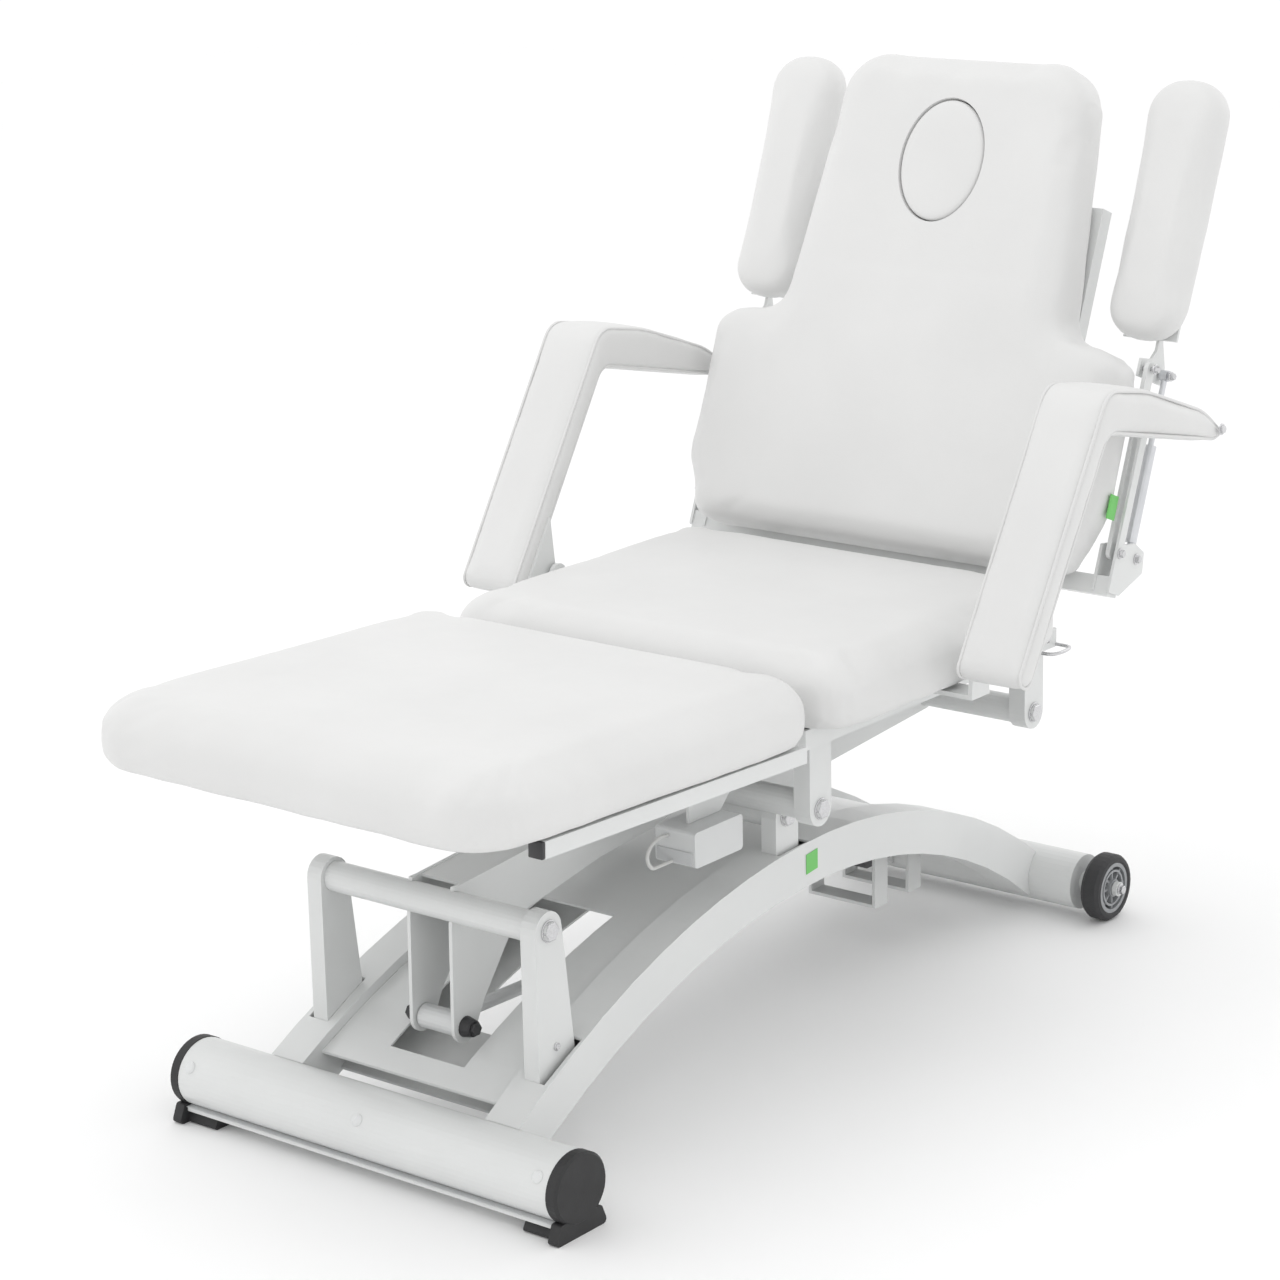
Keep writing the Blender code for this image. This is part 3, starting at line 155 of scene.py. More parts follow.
def coated(name, color, low, high, peel=260.0, strength=0.08, metallic=0.0, spread=0.015):
    """Paint, plastic or rubber with a fine surface texture."""
    mat, nodes, links, shader, coords = new_material(name, color, (low + high) / 2, metallic)
    tone(nodes, links, shader, coords, color, spread, 9.0)
    roughness_noise(nodes, links, shader, coords, low, high, 45.0)
    skin = nodes.new("ShaderNodeTexNoise")
    skin.inputs["Scale"].default_value = peel
    skin.inputs["Detail"].default_value = 2.0
    links.new(coords.outputs["Object"], skin.inputs["Vector"])
    bump(nodes, links, shader, skin.outputs["Fac"], strength, 0.0005)
    return mat


def brushed(name, color, low, high):
    mat, nodes, links, shader, coords = new_material(name, color, (low + high) / 2, 1.0)
    tone(nodes, links, shader, coords, color, 0.05, 30.0)
    roughness_noise(nodes, links, shader, coords, low, high, 160.0)
    stretch = nodes.new("ShaderNodeMapping")
    stretch.inputs["Scale"].default_value = (60.0, 900.0, 900.0)
    lines = nodes.new("ShaderNodeTexNoise")
    lines.inputs["Scale"].default_value = 1.0
    links.new(coords.outputs["Object"], stretch.inputs["Vector"])
    links.new(stretch.outputs["Vector"], lines.inputs["Vector"])
    bump(nodes, links, shader, lines.outputs["Fac"], 0.06, 0.0002)
    return mat


LEATHER = leather()
PAINT = coated("white_paint", (0.70, 0.71, 0.705), 0.28, 0.38)
PAINT.node_tree.nodes["Principled BSDF"].inputs["Coat Weight"].default_value = 0.15
BLACK_RUBBER = coated("cap_rubber", (0.022, 0.022, 0.023), 0.50, 0.68, 380.0, 0.25)
TYRE = coated("wheel_rubber", (0.035, 0.035, 0.037), 0.55, 0.72, 300.0, 0.3)
GREY = coated("grey_moulding", (0.55, 0.56, 0.565), 0.36, 0.48, 300.0, 0.1)
HUB = coated("hub_moulding", (0.30, 0.31, 0.32), 0.36, 0.48, 300.0, 0.1)
BLACK = coated("black_moulding", (0.030, 0.030, 0.032), 0.35, 0.50, 320.0, 0.15)
MOTOR = coated("motor_casing", (0.10, 0.10, 0.105), 0.38, 0.50, 320.0, 0.12)
GREEN = coated("green_label", (0.16, 0.55, 0.13), 0.30, 0.42, 200.0, 0.03)
CASING = coated("light_casing", (0.66, 0.67, 0.67), 0.34, 0.46, 300.0, 0.08)
CLEAR_CAP = coated("screw_cover", (0.70, 0.71, 0.71), 0.22, 0.32, 200.0, 0.03)
STEEL = brushed("bright_fastener", (0.62, 0.62, 0.63), 0.20, 0.34)
ZINC = brushed("zinc_plate", (0.66, 0.67, 0.69), 0.30, 0.45)
SHEATH = coated("cable_sheath", (0.62, 0.62, 0.61), 0.40, 0.52, 300.0, 0.05)

LOOKS = {"white_powder_coat": PAINT, "white_upholstery": LEATHER, "black_rubber": BLACK_RUBBER,
         "tyre_rubber": TYRE, "grey_plastic": GREY, "black_plastic": MOTOR, "bright_steel": STEEL,
         "grey_strut": ZINC, "cable_sheath": SHEATH}
SPECIAL = {"crank_pin": BLACK, "control_box": CASING, "height_actuator_rod": CASING,
           "control_cable": SHEATH, "side_arm_left": PAINT, "side_arm_right": PAINT,
           "side_pad_carrier_left": PAINT, "side_pad_carrier_right": PAINT}


def dress_frame():
    """The CAD nodes keep their shapes and take the finished materials."""
    for row in frame["record"]["subparts"]:
        obj = frame["nodes"][row["node"]]
        look = SPECIAL.get(row["node"], LOOKS[row["material_slot"]])
        obj.data.materials.clear()
        obj.data.materials.append(look)


# ---------------------------------------------------------------- mesh helpers

def rounded(points, radii, steps=6):
    """Polygon with each corner replaced by an arc of its own radius."""
    out = []
    count = len(points)
    for i in range(count):
        here = Vector(points[i])
        back = (Vector(points[i - 1]) - here).normalized()
        ahead = (Vector(points[(i + 1) % count]) - here).normalized()
        radius = radii[i] if isinstance(radii, (list, tuple)) else radii
        half = back.angle(ahead) / 2.0
        reach = radius / math.tan(half)
        center = here + (back + ahead).normalized() * (radius / math.sin(half))
        a = here + back * reach - center
        b = here + ahead * reach - center
        start = math.atan2(a.y, a.x)
        turn = (math.atan2(b.y, b.x) - start + math.pi) % (2 * math.pi) - math.pi
        for k in range(steps + 1):
            angle = start + turn * k / steps
            out.append((center.x + radius * math.cos(angle), center.y + radius * math.sin(angle)))
    return out


def inset(outline, amount):
    """Outline moved inwards along its vertex normals, whichever way it winds."""
    count = len(outline)
    area = sum(outline[i - 1][0] * outline[i][1] - outline[i][0] * outline[i - 1][1] for i in range(count))
    sign = 1.0 if area > 0 else -1.0
    out = []
    for i in range(count):
        tangent = (Vector(outline[(i + 1) % count]) - Vector(outline[i - 1])).normalized() * sign
        out.append((outline[i][0] - tangent.y * amount, outline[i][1] + tangent.x * amount))
    return out


def loft(rings):
    bm = bmesh.new()
    loops = [[bm.verts.new(p) for p in ring] for ring in rings]
    count = len(loops[0])
    for a, b in zip(loops, loops[1:]):
        for i in range(count):
            j = (i + 1) % count
            bm.faces.new((a[i], a[j], b[j], b[i]))
    bm.faces.new(loops[0])
    bm.faces.new(list(reversed(loops[-1])))
    bmesh.ops.recalc_face_normals(bm, faces=bm.faces)
    return bm


def finished(name, bm, mat, matrix, body, smooth=40):
    bm.transform(matrix)
    mesh = bpy.data.meshes.new(name)
    bm.to_mesh(mesh)
    bm.free()
    obj = bpy.data.objects.new(name, mesh)
    bpy.context.scene.collection.objects.link(obj)
    mesh.materials.append(mat)
    mesh.shade_smooth()
    mesh.set_sharp_from_angle(angle=math.radians(smooth))
    if body:
        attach(obj, body)
    return obj


def bake(obj):
    """Replace the mesh with what its modifiers make."""
    bpy.context.view_layer.update()
    graph = bpy.context.evaluated_depsgraph_get()
    mesh = bpy.data.meshes.new_from_object(obj.evaluated_get(graph))
    obj.modifiers.clear()
    old = obj.data
    obj.data = mesh
    bpy.data.meshes.remove(old)
    return obj


def plan_body(outline, low, high, tuck, edge):
    """Upholstered block seen from above as an outline: tucked in below, well rounded above."""
    rings = []
    for z, amount in ((0.0, 1.0), (0.12, 0.55), (0.32, 0.18), (0.60, 0.0)):
        rings.append([(x, y, low + tuck * z * 1.6) for x, y in inset(outline, tuck * amount)])
    for k in range(7):
        angle = math.pi / 2 * k / 6
        ring = inset(outline, edge * (1.0 - math.cos(angle)))
        rings.append([(x, y, high - edge + edge * math.sin(angle)) for x, y in ring])
    return loft(rings)


def side_body(outline, x0, x1, edge):
    """Upholstered block drawn from the side: a (y, z) outline carried across X with rounded flanks."""
    rings = []
    for k in range(5):
        angle = math.pi / 2 * k / 4
        ring = inset(outline, edge * (1.0 - math.sin(angle)))
        rings.append([(x0 + edge * (1.0 - math.cos(angle)), y, z) for y, z in ring])
    for k in range(5):
        angle = math.pi / 2 * k / 4
        ring = inset(outline, edge * (1.0 - math.cos(angle)))
        rings.append([(x1 - edge * (1.0 - math.sin(angle)), y, z) for y, z in ring])
    return loft(rings)


def soft_object(name, bm):
    mesh = bpy.data.meshes.new(name)
    bm.to_mesh(mesh)
    bm.free()
    obj = bpy.data.objects.new(name, mesh)
    bpy.context.scene.collection.objects.link(obj)
    return obj


def stuff(obj, voxel, cap, held, pressure=4.0, frames=12):
    """Foam under a tight cover: remesh, blow the cloth up with its board held, and cap the swelling."""
    remesh = obj.modifiers.new("remesh", "REMESH")
    remesh.mode = "VOXEL"
    remesh.voxel_size = voxel
    remesh.use_smooth_shade = True
    bake(obj)
    smooth = obj.modifiers.new("smooth", "SMOOTH")
    smooth.factor = 0.5
    smooth.iterations = 4
    bake(obj)
    before = [v.co.copy() for v in obj.data.vertices]
    group = obj.vertex_groups.new(name="board")
    group.add([v.index for v in obj.data.vertices if held(v.co)], 1.0, "REPLACE")
    cloth = obj.modifiers.new("cloth", "CLOTH")
    cloth.settings.quality = 5
    cloth.settings.use_pressure = True
    cloth.settings.uniform_pressure_force = pressure
    cloth.settings.vertex_group_mass = "board"
    cloth.settings.tension_stiffness = 12.0
    cloth.settings.compression_stiffness = 6.0
    cloth.settings.bending_stiffness = 0.8
    cloth.settings.effector_weights.gravity = 0.0
    scene = bpy.context.scene
    for number in range(1, frames + 1):
        scene.frame_set(number)
    bake(obj)
    scene.frame_set(1)
    for vert, start in zip(obj.data.vertices, before):
        move = vert.co - start
        if move.length > cap:
            vert.co = start + move * (cap / move.length)
    relax = obj.modifiers.new("relax", "SMOOTH")
    relax.factor = 0.4
    relax.iterations = 2
    bake(obj)
    return obj


def pucker(obj, amount, where, scale):
    """Shallow gathers where the cover is pulled round an edge."""
    mesh = obj.data
    moves = []
    for vert in mesh.vertices:
        share = where(vert.co)
        value = 0.0
        if share > 0.0:
            value = noise.noise(Vector((vert.co.x * scale[0], vert.co.y * scale[1], vert.co.z * scale[2])))
        moves.append(vert.normal * (value * share * amount))
    for vert, move in zip(mesh.vertices, moves):
        vert.co += move


def subdivide(obj):
    split = obj.modifiers.new("split", "SUBSURF")
    split.levels = 1
    split.render_levels = 1
    bake(obj)


def cover(obj, matrix):
    """Put the soft shape in its place and give it the leather."""
    obj.data.transform(matrix)
    obj.data.materials.clear()
    obj.data.materials.append(LEATHER)
    obj.data.shade_smooth()


def stand_for(nodes):
    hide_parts(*nodes)


def upholster(obj, matrix, body, nodes):
    subdivide(obj)
    cover(obj, matrix)
    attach(obj, body)
    stand_for(nodes)


def box_bm(x0, x1, y0, y1, z0, z1, edge=0.0):
    bm = loft([[(x, y0, z0), (x, y1, z0), (x, y1, z1), (x, y0, z1)] for x in (x0, x1)])
    if edge:
        bmesh.ops.bevel(bm, geom=bm.edges, offset=edge, segments=2, affect="EDGES", profile=0.5)
    return bm


def turned_bm(center, profile, count=32):
    """Closed body turned about an axis along X; profile is (x, radius) from one tip to the other."""
    rings = []
    for x, radius in profile:
        r = max(radius, 0.00005)
        rings.append([(x, center[0] + r * math.cos(2 * math.pi * k / count),
                       center[1] + r * math.sin(2 * math.pi * k / count)) for k in range(count)])
    return loft(rings)


def merged(parts):
    whole = bmesh.new()
    for part in parts:
        mesh = bpy.data.meshes.new("part")
        part.to_mesh(mesh)
        part.free()
        whole.from_mesh(mesh)
        bpy.data.meshes.remove(mesh)
    return whole


def tube(name, points, radius, mat, matrix, body, closed=False, sides=10):
    """Round bar or piping along a smooth line, made as a mesh."""
    line = [Vector(p) for p in points]
    count = len(line)
    rings = []
    normal = None
    for i, here in enumerate(line):
        before = line[i - 1] if (i or closed) else line[i]
        after = line[(i + 1) % count] if (i + 1 < count or closed) else line[i]
        tangent = (after - before).normalized()
        if normal is None:
            normal = tangent.orthogonal().normalized()
        normal = (normal - tangent * normal.dot(tangent)).normalized()
        side = tangent.cross(normal)
        rings.append([here + (normal * math.cos(a) + side * math.sin(a)) * radius
                      for a in (2 * math.pi * k / sides for k in range(sides))])
    bm = bmesh.new()
    loops = [[bm.verts.new(p) for p in ring] for ring in rings]
    pairs = list(zip(loops, loops[1:]))
    if closed:
        pairs.append((loops[-1], loops[0]))
    for a, b in pairs:
        shift = 0
        if closed and b is loops[0]:
            shift = min(range(sides), key=lambda s: (a[0].co - b[s].co).length)
        for i in range(sides):
            j = (i + 1) % sides
            bm.faces.new((a[i], a[j], b[(j + shift) % sides], b[(i + shift) % sides]))
    if not closed:
        bm.faces.new(list(reversed(loops[0])))
        bm.faces.new(loops[-1])
    bmesh.ops.recalc_face_normals(bm, faces=bm.faces)
    return finished(name, bm, mat, matrix, body, 60)


def smooth_line(points, steps, closed=False):
    """Catmull-Rom line through the points."""
    pts = [Vector(p) for p in points]
    count = len(pts)
    out = []
    spans = count if closed else count - 1
    for i in range(spans):
        if closed:
            a, b, c, d = (pts[(i + k - 1) % count] for k in range(4))
        else:
            b, c = pts[i], pts[i + 1]
            a = pts[i - 1] if i else b * 2 - c
            d = pts[i + 2] if i + 2 < count else c * 2 - b
        for k in range(steps):
            t = k / steps
            out.append(0.5 * ((2 * b) + (c - a) * t + (2 * a - 5 * b + 4 * c - d) * t * t
                              + (3 * b - a - 3 * c + d) * t ** 3))
    if not closed:
        out.append(pts[-1])
    return out


def span(side, inner, outer):
    return (inner, outer) if side > 0 else (-outer, -inner)


SIDES = (("left", -1.0), ("right", 1.0))


# ---------------------------------------------------------------- cushions

def crown(obj, amount, centre, reach, above):
    """Foam stands proud in the middle of a panel."""
    for vert in obj.data.vertices:
        if vert.co.z > above:
            u = (vert.co.x - centre[0]) / reach[0]
            v = (vert.co.y - centre[1]) / reach[1]
            share = max(0.0, 1.0 - u * u) * max(0.0, 1.0 - v * v)
            vert.co.z += amount * share ** 0.6


def near_flank(co, start, width):
    """Share of a pucker near the two flanks, halved on the top face."""
    return max(0.0, min(1.0, (abs(co.x) - start) / width)) * (1.0 if co.z < 0.535 else 0.5)


def leg_cushion():
    outline = rounded([(-0.315, -0.156), (0.315, -0.156), (0.317, 0.458), (-0.317, 0.458)],
                      [0.072, 0.072, 0.056, 0.056])
    obj = soft_object("leg_pad", plan_body(outline, 0.459, 0.538, 0.014, 0.046))
    stuff(obj, 0.0080, 0.006, lambda c: c.z < 0.4615)
    crown(obj, 0.004, (0.0, 0.150), (0.30, 0.30), 0.51)
    pucker(obj, 0.0016, lambda c: near_flank(c, 0.27, 0.04), (9.0, 26.0, 10.0))
    pucker(obj, 0.0016, lambda c: max(0.0, min(1.0, (abs(c.y - 0.151) - 0.27) / 0.03)), (24.0, 9.0, 10.0))
    upholster(obj, LEG, "leg_section", ["leg_cushion"])


def seat_cushion():
    outline = rounded([(-0.316, 0.480), (0.316, 0.480), (0.316, 1.006), (-0.316, 1.006)], [0.056] * 4)
    obj = soft_object("seat_pad", plan_body(outline, 0.458, 0.538, 0.014, 0.046))
    stuff(obj, 0.0080, 0.006, lambda c: c.z < 0.4605)
    crown(obj, 0.004, (0.0, 0.743), (0.30, 0.25), 0.51)
    pucker(obj, 0.0018, lambda c: near_flank(c, 0.26, 0.04), (9.0, 26.0, 10.0))
    upholster(obj, STILL, "chassis", ["seat_cushion"])


def back_plan():
    right = [(0.296, 1.103), (0.3320, 1.195), (0.3300, 1.388), (0.2990, 1.409), (0.2270, 1.417),
             (0.1930, 1.783)]
    left = [(-x, y) for x, y in reversed(right)]
    radii = [0.036, 0.070, 0.030, 0.014, 0.034, 0.072]
    return rounded(right + left, radii + list(reversed(radii)), 5)


def oval(grow, count=64):
    """Edge of the face hole, moved outwards by grow."""
    turns = [2 * math.pi * k / count for k in range(count)]
    return [((HOLE_A + grow) * math.cos(t), HOLE_Y + (HOLE_B + grow) * math.sin(t)) for t in turns]


def back_cushion():
    obj = soft_object("back_pad", plan_body(back_plan(), 0.460, 0.530, 0.012, 0.026))
    stuff(obj, 0.0075, 0.006, lambda c: c.z < 0.4625)
    crown(obj, 0.003, (0.0, 1.280), (0.31, 0.20), 0.505)
    pucker(obj, 0.0014, lambda c: max(0.0, min(1.0, (abs(c.x) - 0.20 - max(0.0, 1.40 - c.y)) / 0.05)) * 0.8,
           (10.0, 24.0, 8.0))
    subdivide(obj)
    hole = soft_object("hole", loft([[(x, y, z) for x, y in oval(g)] for z, g in
                                     ((0.44, 0.0), (0.531, 0.0), (0.538, 0.0015), (0.560, 0.006))]))
    cut = obj.modifiers.new("hole", "BOOLEAN")
    cut.operation = "DIFFERENCE"
    cut.object = hole
    cut.solver = "EXACT"
    bake(obj)
    bpy.data.objects.remove(hole)
    cover(obj, BACK)
    obj.data.set_sharp_from_angle(angle=math.radians(50))
    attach(obj, "backrest")
    stand_for(["back_cushion"])


def face_plug():
    rings = []
    for z, g in ((0.474, -0.006), (0.477, -0.0025), (0.484, -0.0008), (0.528, -0.0008), (0.533, -0.0014),
                 (0.5360, -0.0036), (0.5375, -0.009), (0.5385, -0.026), (0.5392, -0.045)):
        rings.append([(x, y, z) for x, y in oval(g)])
    obj = soft_object("face_plug", loft(rings))
    upholster(obj, BACK, "face_plug", ["face_hole_plug"])


def side_pad(name, side):
    x0, x1 = span(side, 0.248, 0.362)
    corners = [(x0 + 0.004, 1.435), (x1 - 0.004, 1.435), (x1, 1.782), (x0, 1.782)]
    outline = rounded(corners, [0.044, 0.044, 0.050, 0.050])
    obj = soft_object("side_arm_cushion_" + name, plan_body(outline, 0.4250, 0.4715, 0.008, 0.024))
    stuff(obj, 0.0055, 0.004, lambda c: c.z < 0.4270)
    pucker(obj, 0.0010, lambda c: 1.0 if c.z < 0.455 else 0.3, (16.0, 22.0, 12.0))
    upholster(obj, BACK, "side_pad_" + name, ["side_pad_" + name])


def beside(origin, run, along, across):
    length = math.hypot(*run)
    dy, dz = run[0] / length, run[1] / length
    return (origin[0] + dy * along - dz * across, origin[1] + dz * along + dy * across)


def circle_arc(center, radius, start, end, steps):
    turns = [math.radians(start + (end - start) * k / steps) for k in range(steps + 1)]
    return [(center[0] + radius * math.cos(t), center[1] + radius * math.sin(t)) for t in turns]


FOOT, LEAN = (0.670, 0.500), (0.195, 0.315)


def arm_outline():
    """Side view of one armrest: the padded board bends at the elbow and swells over the arm."""
    run = (ARM_P4[0] - ARM_P3[0], ARM_P4[1] - ARM_P3[1])
    points = [beside(FOOT, LEAN, 0.0, -0.033), (0.8759, 0.7698)]
    points += [beside(ARM_P3, run, a, c) for a, c in ((0.285, -0.0165), (0.309, -0.0040), (0.250, 0.0240),
                                                    (0.100, 0.0430))]
    points += [beside(FOOT, LEAN, 0.385, 0.0), beside(FOOT, LEAN, 0.0, 0.0)]
    return rounded(points, [0.015, 0.022, 0.030, 0.006, 0.150, 0.350, 0.035, 0.015], 8)


def dense(outline, step=0.008):
    """The same outline with its long edges divided."""
    out = []
    for i, point in enumerate(outline):
        here, ahead = Vector(point), Vector(outline[(i + 1) % len(outline)])
        count = max(1, round((ahead - here).length / step))
        out += [tuple(here.lerp(ahead, k / count)) for k in range(count)]
    return out


def bend_at_elbow(obj):
    """Bakes the object's placement into its mesh; the cover is not bent."""
    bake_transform(obj)


def armrest(name, side):
    x0, x1 = span(side, ARM_IN, ARM_OUT)
    arm = soft_object("armrest_" + name, side_body(arm_outline(), x0, x1, 0.012))
    stuff(arm, 0.0050, 0.0022, lambda c: abs(abs(c.x) - ARM_IN) < 0.003, 3.0, 8)
    pucker(arm, 0.0008, lambda c: 1.0 if abs(abs(c.x) - 0.3975) > 0.030 else 0.2, (14.0, 24.0, 24.0))
    subdivide(arm)
    cover(arm, STILL)
    bend_at_elbow(arm)
    stand_for(["armrest_post_" + name, "armrest_pad_" + name])
    for number, x in enumerate((0.3535, 0.4415)):
        line = [(side * x, y, z) for y, z in dense(inset(arm_outline(), 0.0030))]
        piping = tube("arm_piping_%s_%d" % (name, number), line, PIPING, LEATHER, STILL, None,
                      True, 8)
        bend_at_elbow(piping)
    lug = circle_arc(ARM_P2, 0.0145, -110, 70, 12)
    lug += [beside(FOOT, LEAN, 0.115, -0.020), beside(FOOT, LEAN, 0.020, -0.020)]
    x0, x1 = span(side, 0.3450, 0.3500)
    plate = loft([[(x, y, z) for y, z in lug] for x in (x0, x1)])
    finished("arm_lug_" + name, plate, PAINT, STILL, "arm_post_" + name)


# ---------------------------------------------------------------- fittings

def hex_bolt(name, body, center, x, side, size, matrix=STILL, mat=None, washer=1.45, height=0.0055):
    """Washer and hexagon head with a chamfered top, pointing out along X."""
    base = side * x
    rim = size * washer
    low, top = base + side * 0.0012, base + side * 0.0016
    parts = [turned_bm(center, [(base, 0.0), (base, rim), (low, rim), (top, rim - 0.0006), (top, 0.0)], 32)]
    head = []
    for step, shrink in ((0.0012, 1.0), (height, 1.0), (height + 0.0008, 0.90)):
        head.append([(base + side * step, center[0] + size * shrink * math.cos(math.pi / 3 * k),
                      center[1] + size * shrink * math.sin(math.pi / 3 * k)) for k in range(6)])
    parts.append(loft(head))
    return finished(name, merged(parts), mat or STEEL, matrix, body, 30)


PIVOT_BOLTS = (("bolt_front_pivot", "front_lift_arm", FRONT_PIVOT, 0.1779),
               ("bolt_front_upper", "front_lift_arm", FRONT_UPPER, 0.2353),
               ("bolt_mid_pivot", "rear_lever", MID_PIVOT, 0.1603),
               ("bolt_rear_upper", "rear_lever", REAR_UPPER, 0.2353))


def bolts():
    for name, side in SIDES:
        pad = "side_pad_" + name
        for label, body, pin, x in PIVOT_BOLTS:
            hex_bolt(label + "_" + name, body, pin, x, side, PIVOT_HEAD, STILL, None, 1.1)
        hex_bolt("nut_crank_" + name, "front_lift_arm", CRANK, 0.0475, side, 0.0085, STILL, BLACK, 1.2)
        hex_bolt("nut_wheel_" + name, "base", WHEEL, 0.2650, side, 0.0062, STILL, None, 1.3)
        for number, z in enumerate((LINK_Z, STRUT_Z)):
            label = "bolt_bracket_%s_%d" % (name, number)
            hex_bolt(label, "backrest", (LINK_LOW, z), 0.3426, side, LINK_HEAD, BACK)
        for number, z in enumerate((LINK_Z, STRUT_Z)):
            hex_bolt("bolt_carrier_%s_%d" % (name, number), pad, (LINK_HIGH, z), 0.3376, side, 0.0046, BACK)
            ends = (side * 0.3190, side * 0.3380)
            profile = [(ends[0], 0.0), (ends[0], 0.0030), (ends[1], 0.0030), (ends[1], 0.0)]
            shank = turned_bm((LINK_HIGH, z), profile, 16)
            finished("shank_carrier_%s_%d" % (name, number), shank, STEEL, BACK, pad)
        hex_bolt("screw_front_post_" + name, "base", (0.112, 0.160), 0.1777, side, 0.0042, STILL, None,
                 1.2, 0.0025)
        hex_bolt("bolt_armrest_" + name, "arm_pad_" + name, ARM_P4, 0.4500, side, 0.0055, STILL, None,
                 1.4, 0.004)


def spoked_hub(name, side):
    """Moulded wheel: rim ring, raised bead, eight spokes and a boss."""
    parts = []
    x_in, x_out = side * 0.2290, side * 0.2550

    def annulus(r0, r1, a, b):
        rings = []
        count = 40
        for x, r in ((a, r0), (b, r0), (b, r1), (a, r1)):
            rings.append([(x, WHEEL[0] + r * math.cos(2 * math.pi * k / count),
                           WHEEL[1] + r * math.sin(2 * math.pi * k / count)) for k in range(count)])
        bm = bmesh.new()
        loops = [[bm.verts.new(p) for p in ring] for ring in rings]
        for i in range(4):
            p, q = loops[i], loops[(i + 1) % 4]
            for k in range(count):
                m = (k + 1) % count
                bm.faces.new((p[k], p[m], q[m], q[k]))
        bmesh.ops.recalc_face_normals(bm, faces=bm.faces)
        return bm

    parts.append(annulus(0.0300, 0.0352, x_in, x_out))
    parts.append(annulus(0.0225, 0.0255, side * 0.2320, side * 0.2540))
    parts.append(annulus(0.0064, 0.0125, x_in, side * 0.2560))
    parts.append(annulus(0.0110, 0.0320, side * 0.2385, side * 0.2425))
    for k in range(8):
        spoke = box_bm(min(side * 0.2320, side * 0.2525), max(side * 0.2320, side * 0.2525), 0.0110, 0.0310,
                       -0.0016, 0.0016, 0.0006)
        turn = Matrix.Rotation(math.pi / 4 * k, 4, "X")
        spoke.transform(Matrix.Translation((0.0, WHEEL[0], WHEEL[1])) @ turn)
        parts.append(spoke)
    hub = finished("spoked_hub_" + name, merged(parts), HUB, STILL, "wheel_" + name)
    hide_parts("wheel_hub_" + name)


def front_bar_details():
    parts = []
    lean = math.radians(30.0)
    for x in (-0.272, 0.0, 0.272):
        cover = loft([[(r * math.cos(2 * math.pi * k / 24), r * math.sin(2 * math.pi * k / 24), z)
                       for k in range(24)] for z, r in ((-0.004, 0.0075), (0.0006, 0.0075), (0.0016, 0.0062),
                                                        (0.0021, 0.0035))])
        normal = Vector((0.0, -math.cos(lean) / 0.0448, math.sin(lean) / 0.0415)).normalized()
        spot = Vector((x, -0.0448 * math.cos(lean), 0.0565 + 0.0415 * math.sin(lean)))
        turn = normal.to_track_quat("Z", "Y").to_matrix().to_4x4()
        cover.transform(Matrix.Translation(spot) @ turn)
        parts.append(cover)
    finished("crossbar_screw_covers", merged(parts), CLEAR_CAP, STILL, "base")
    lip = box_bm(-0.2870, 0.2870, -0.0330, 0.0330, 0.0150, 0.0205, 0.0012)
    finished("crossbar_lower_lip", lip, PAINT, STILL, "base")
    seam = box_bm(-0.2868, 0.2868, -0.0345, 0.0345, 0.0208, 0.0218, 0.0003)
    finished("crossbar_seam", seam, GREY, STILL, "base")


def labels_and_trim():
    y0, y1 = 0.618, 0.644
    corners = ((y0, 0.221), (y1, 0.223), (y1, 0.249), (y0, 0.247))
    quad = [(0.1955 - 0.0465 * y + 0.0004, y, z) for y, z in corners]
    thick = [(x + 0.0004, y, z) for x, y, z in quad]
    finished("label_beam", loft([quad, thick]), GREEN, STILL, "base")
    patch = box_bm(0.3330, 0.3352, 1.192, 1.224, 0.470, 0.490, 0.0008)
    finished("label_back", patch, GREEN, BACK, "backrest")
    for name, side in SIDES:
        x0, x1 = span(side, 0.2800, 0.3000)
        plug = box_bm(x0, x1, -0.0460, -0.0402, 0.4370, 0.4570, 0.0014)
        finished("leg_tube_plug_" + name, plug, BLACK, LEG, "leg_section")
    wire = smooth_line([(0.236, 1.006, 0.4360), (0.262, 1.006, 0.4350), (0.282, 1.009, 0.4350),
                        (0.287, 1.030, 0.4350), (0.282, 1.051, 0.4350), (0.262, 1.054, 0.4350),
                        (0.236, 1.054, 0.4360)], 5)
    tube("seat_wire_loop", wire, 0.0024, STEEL, STILL, "chassis")
    box = box_bm(0.1230, 0.1770, 0.3730, 0.3752, 0.3040, 0.3200, 0.0006)
    finished("control_box_panel", box, GREY, STILL, "chassis")


# ---------------------------------------------------------------- room

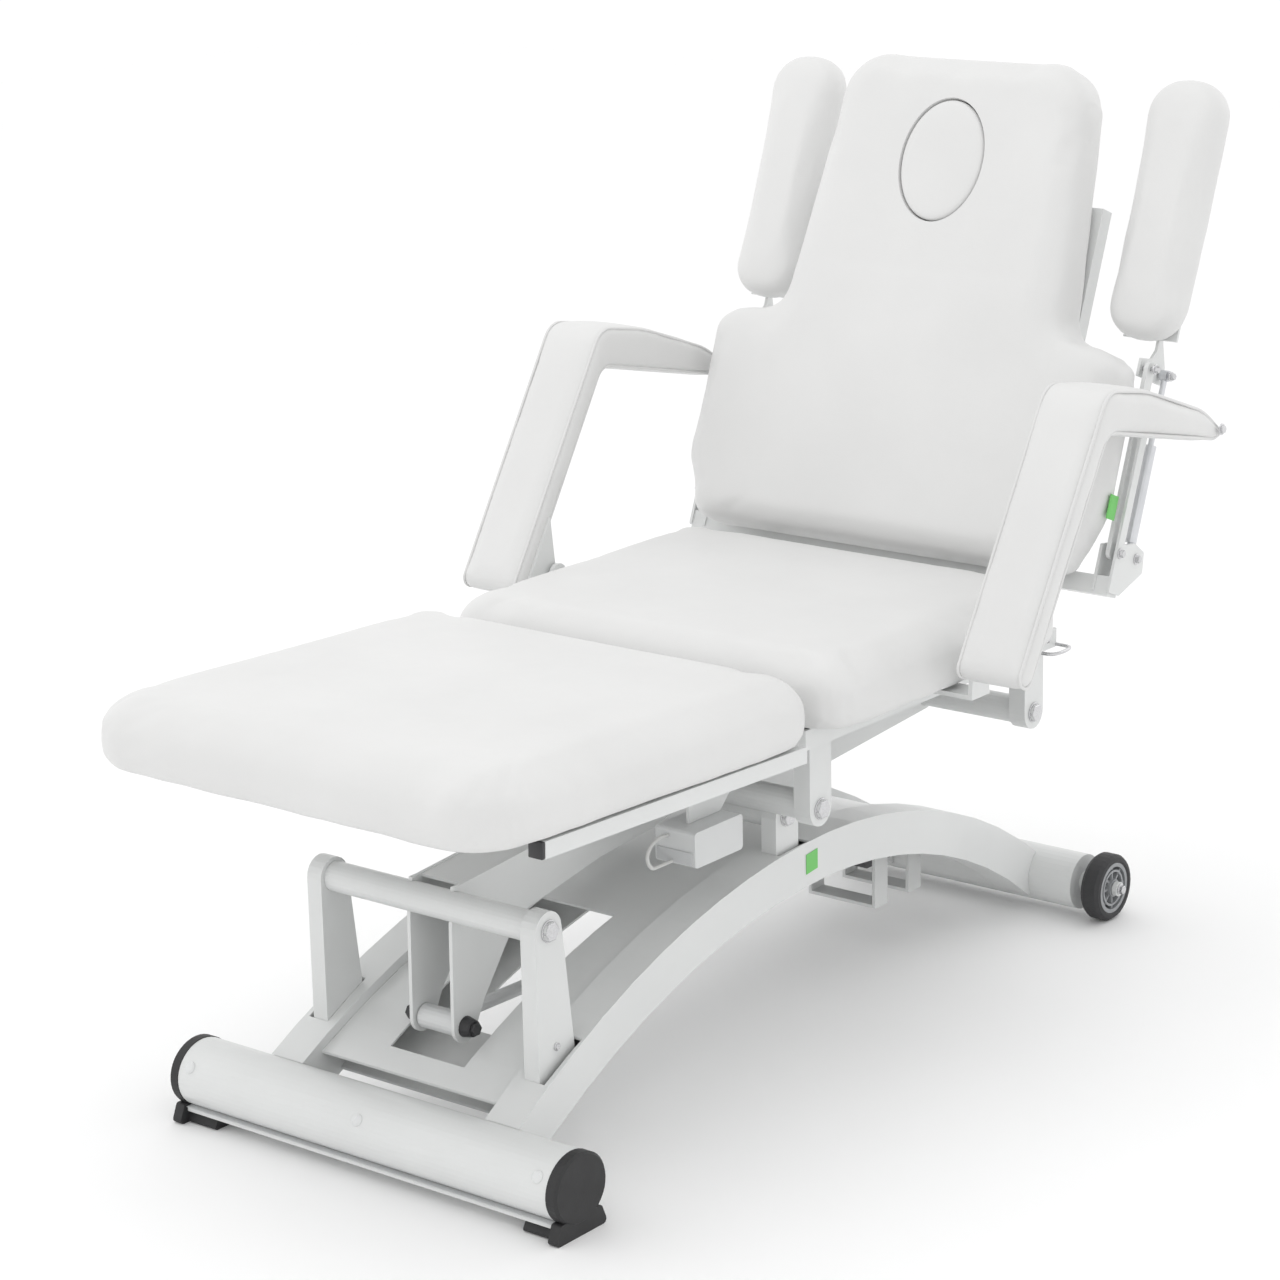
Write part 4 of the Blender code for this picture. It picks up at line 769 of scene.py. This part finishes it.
def room():
    floor = box_bm(-9.0, 9.0, -9.0, 9.0, -0.02, -0.0002)
    mat, nodes, links, shader, coords = new_material("studio_floor", (0.95, 0.95, 0.95), 0.7)
    tone(nodes, links, shader, coords, (0.95, 0.95, 0.95), 0.005, 2.0)
    obj = finished("studio_floor", floor, mat, Matrix.Identity(4), None)
    world = bpy.data.worlds.new("studio")
    bpy.context.scene.world = world
    world.use_nodes = True
    world.node_tree.nodes["Background"].inputs["Color"].default_value = (1.0, 1.0, 1.0, 1.0)
    world.node_tree.nodes["Background"].inputs["Strength"].default_value = 1.06
    bpy.context.scene.view_settings.view_transform = "Standard"


def area_light(name, place, aim, size, power):
    data = bpy.data.lights.new(name, "AREA")
    data.shape = "RECTANGLE"
    data.size, data.size_y = size
    data.energy = power
    lamp = bpy.data.objects.new(name, data)
    bpy.context.scene.collection.objects.link(lamp)
    lamp.location = place
    lamp.rotation_euler = (Vector(aim) - Vector(place)).to_track_quat("-Z", "Y").to_euler()


def lights_and_camera():
    area_light("key_top", (-0.8, -0.6, 3.6), (0.0, 0.0, 0.4), (3.0, 3.0), 16.0)
    area_light("fill_left", (-3.6, -1.6, 1.8), (0.0, 0.0, 0.5), (2.5, 2.5), 6.0)
    area_light("rim_back", (1.5, 3.8, 2.2), (0.0, 0.3, 0.6), (2.5, 2.0), 8.0)
    data = bpy.data.cameras.new("photo_view")
    data.sensor_width = 36.0
    data.lens = 99.72
    camera = bpy.data.objects.new("photo_view", data)
    bpy.context.scene.collection.objects.link(camera)
    turn = (Matrix.Rotation(math.radians(38.711), 4, "Z")
            @ Matrix.Rotation(math.radians(90.0 - 15.516), 4, "X")
            @ Matrix.Rotation(math.radians(-1.264), 4, "Z"))
    camera.matrix_world = Matrix.Translation((2.6398, -2.7902 + SHIFT, 1.699)) @ turn
    bpy.context.scene.camera = camera


dress_frame()
leg_cushion()
seat_cushion()
back_cushion()
face_plug()
for side_name, side_sign in SIDES:
    side_pad(side_name, side_sign)
    armrest(side_name, side_sign)
    spoked_hub(side_name, side_sign)
bolts()
front_bar_details()
labels_and_trim()
room()
lights_and_camera()
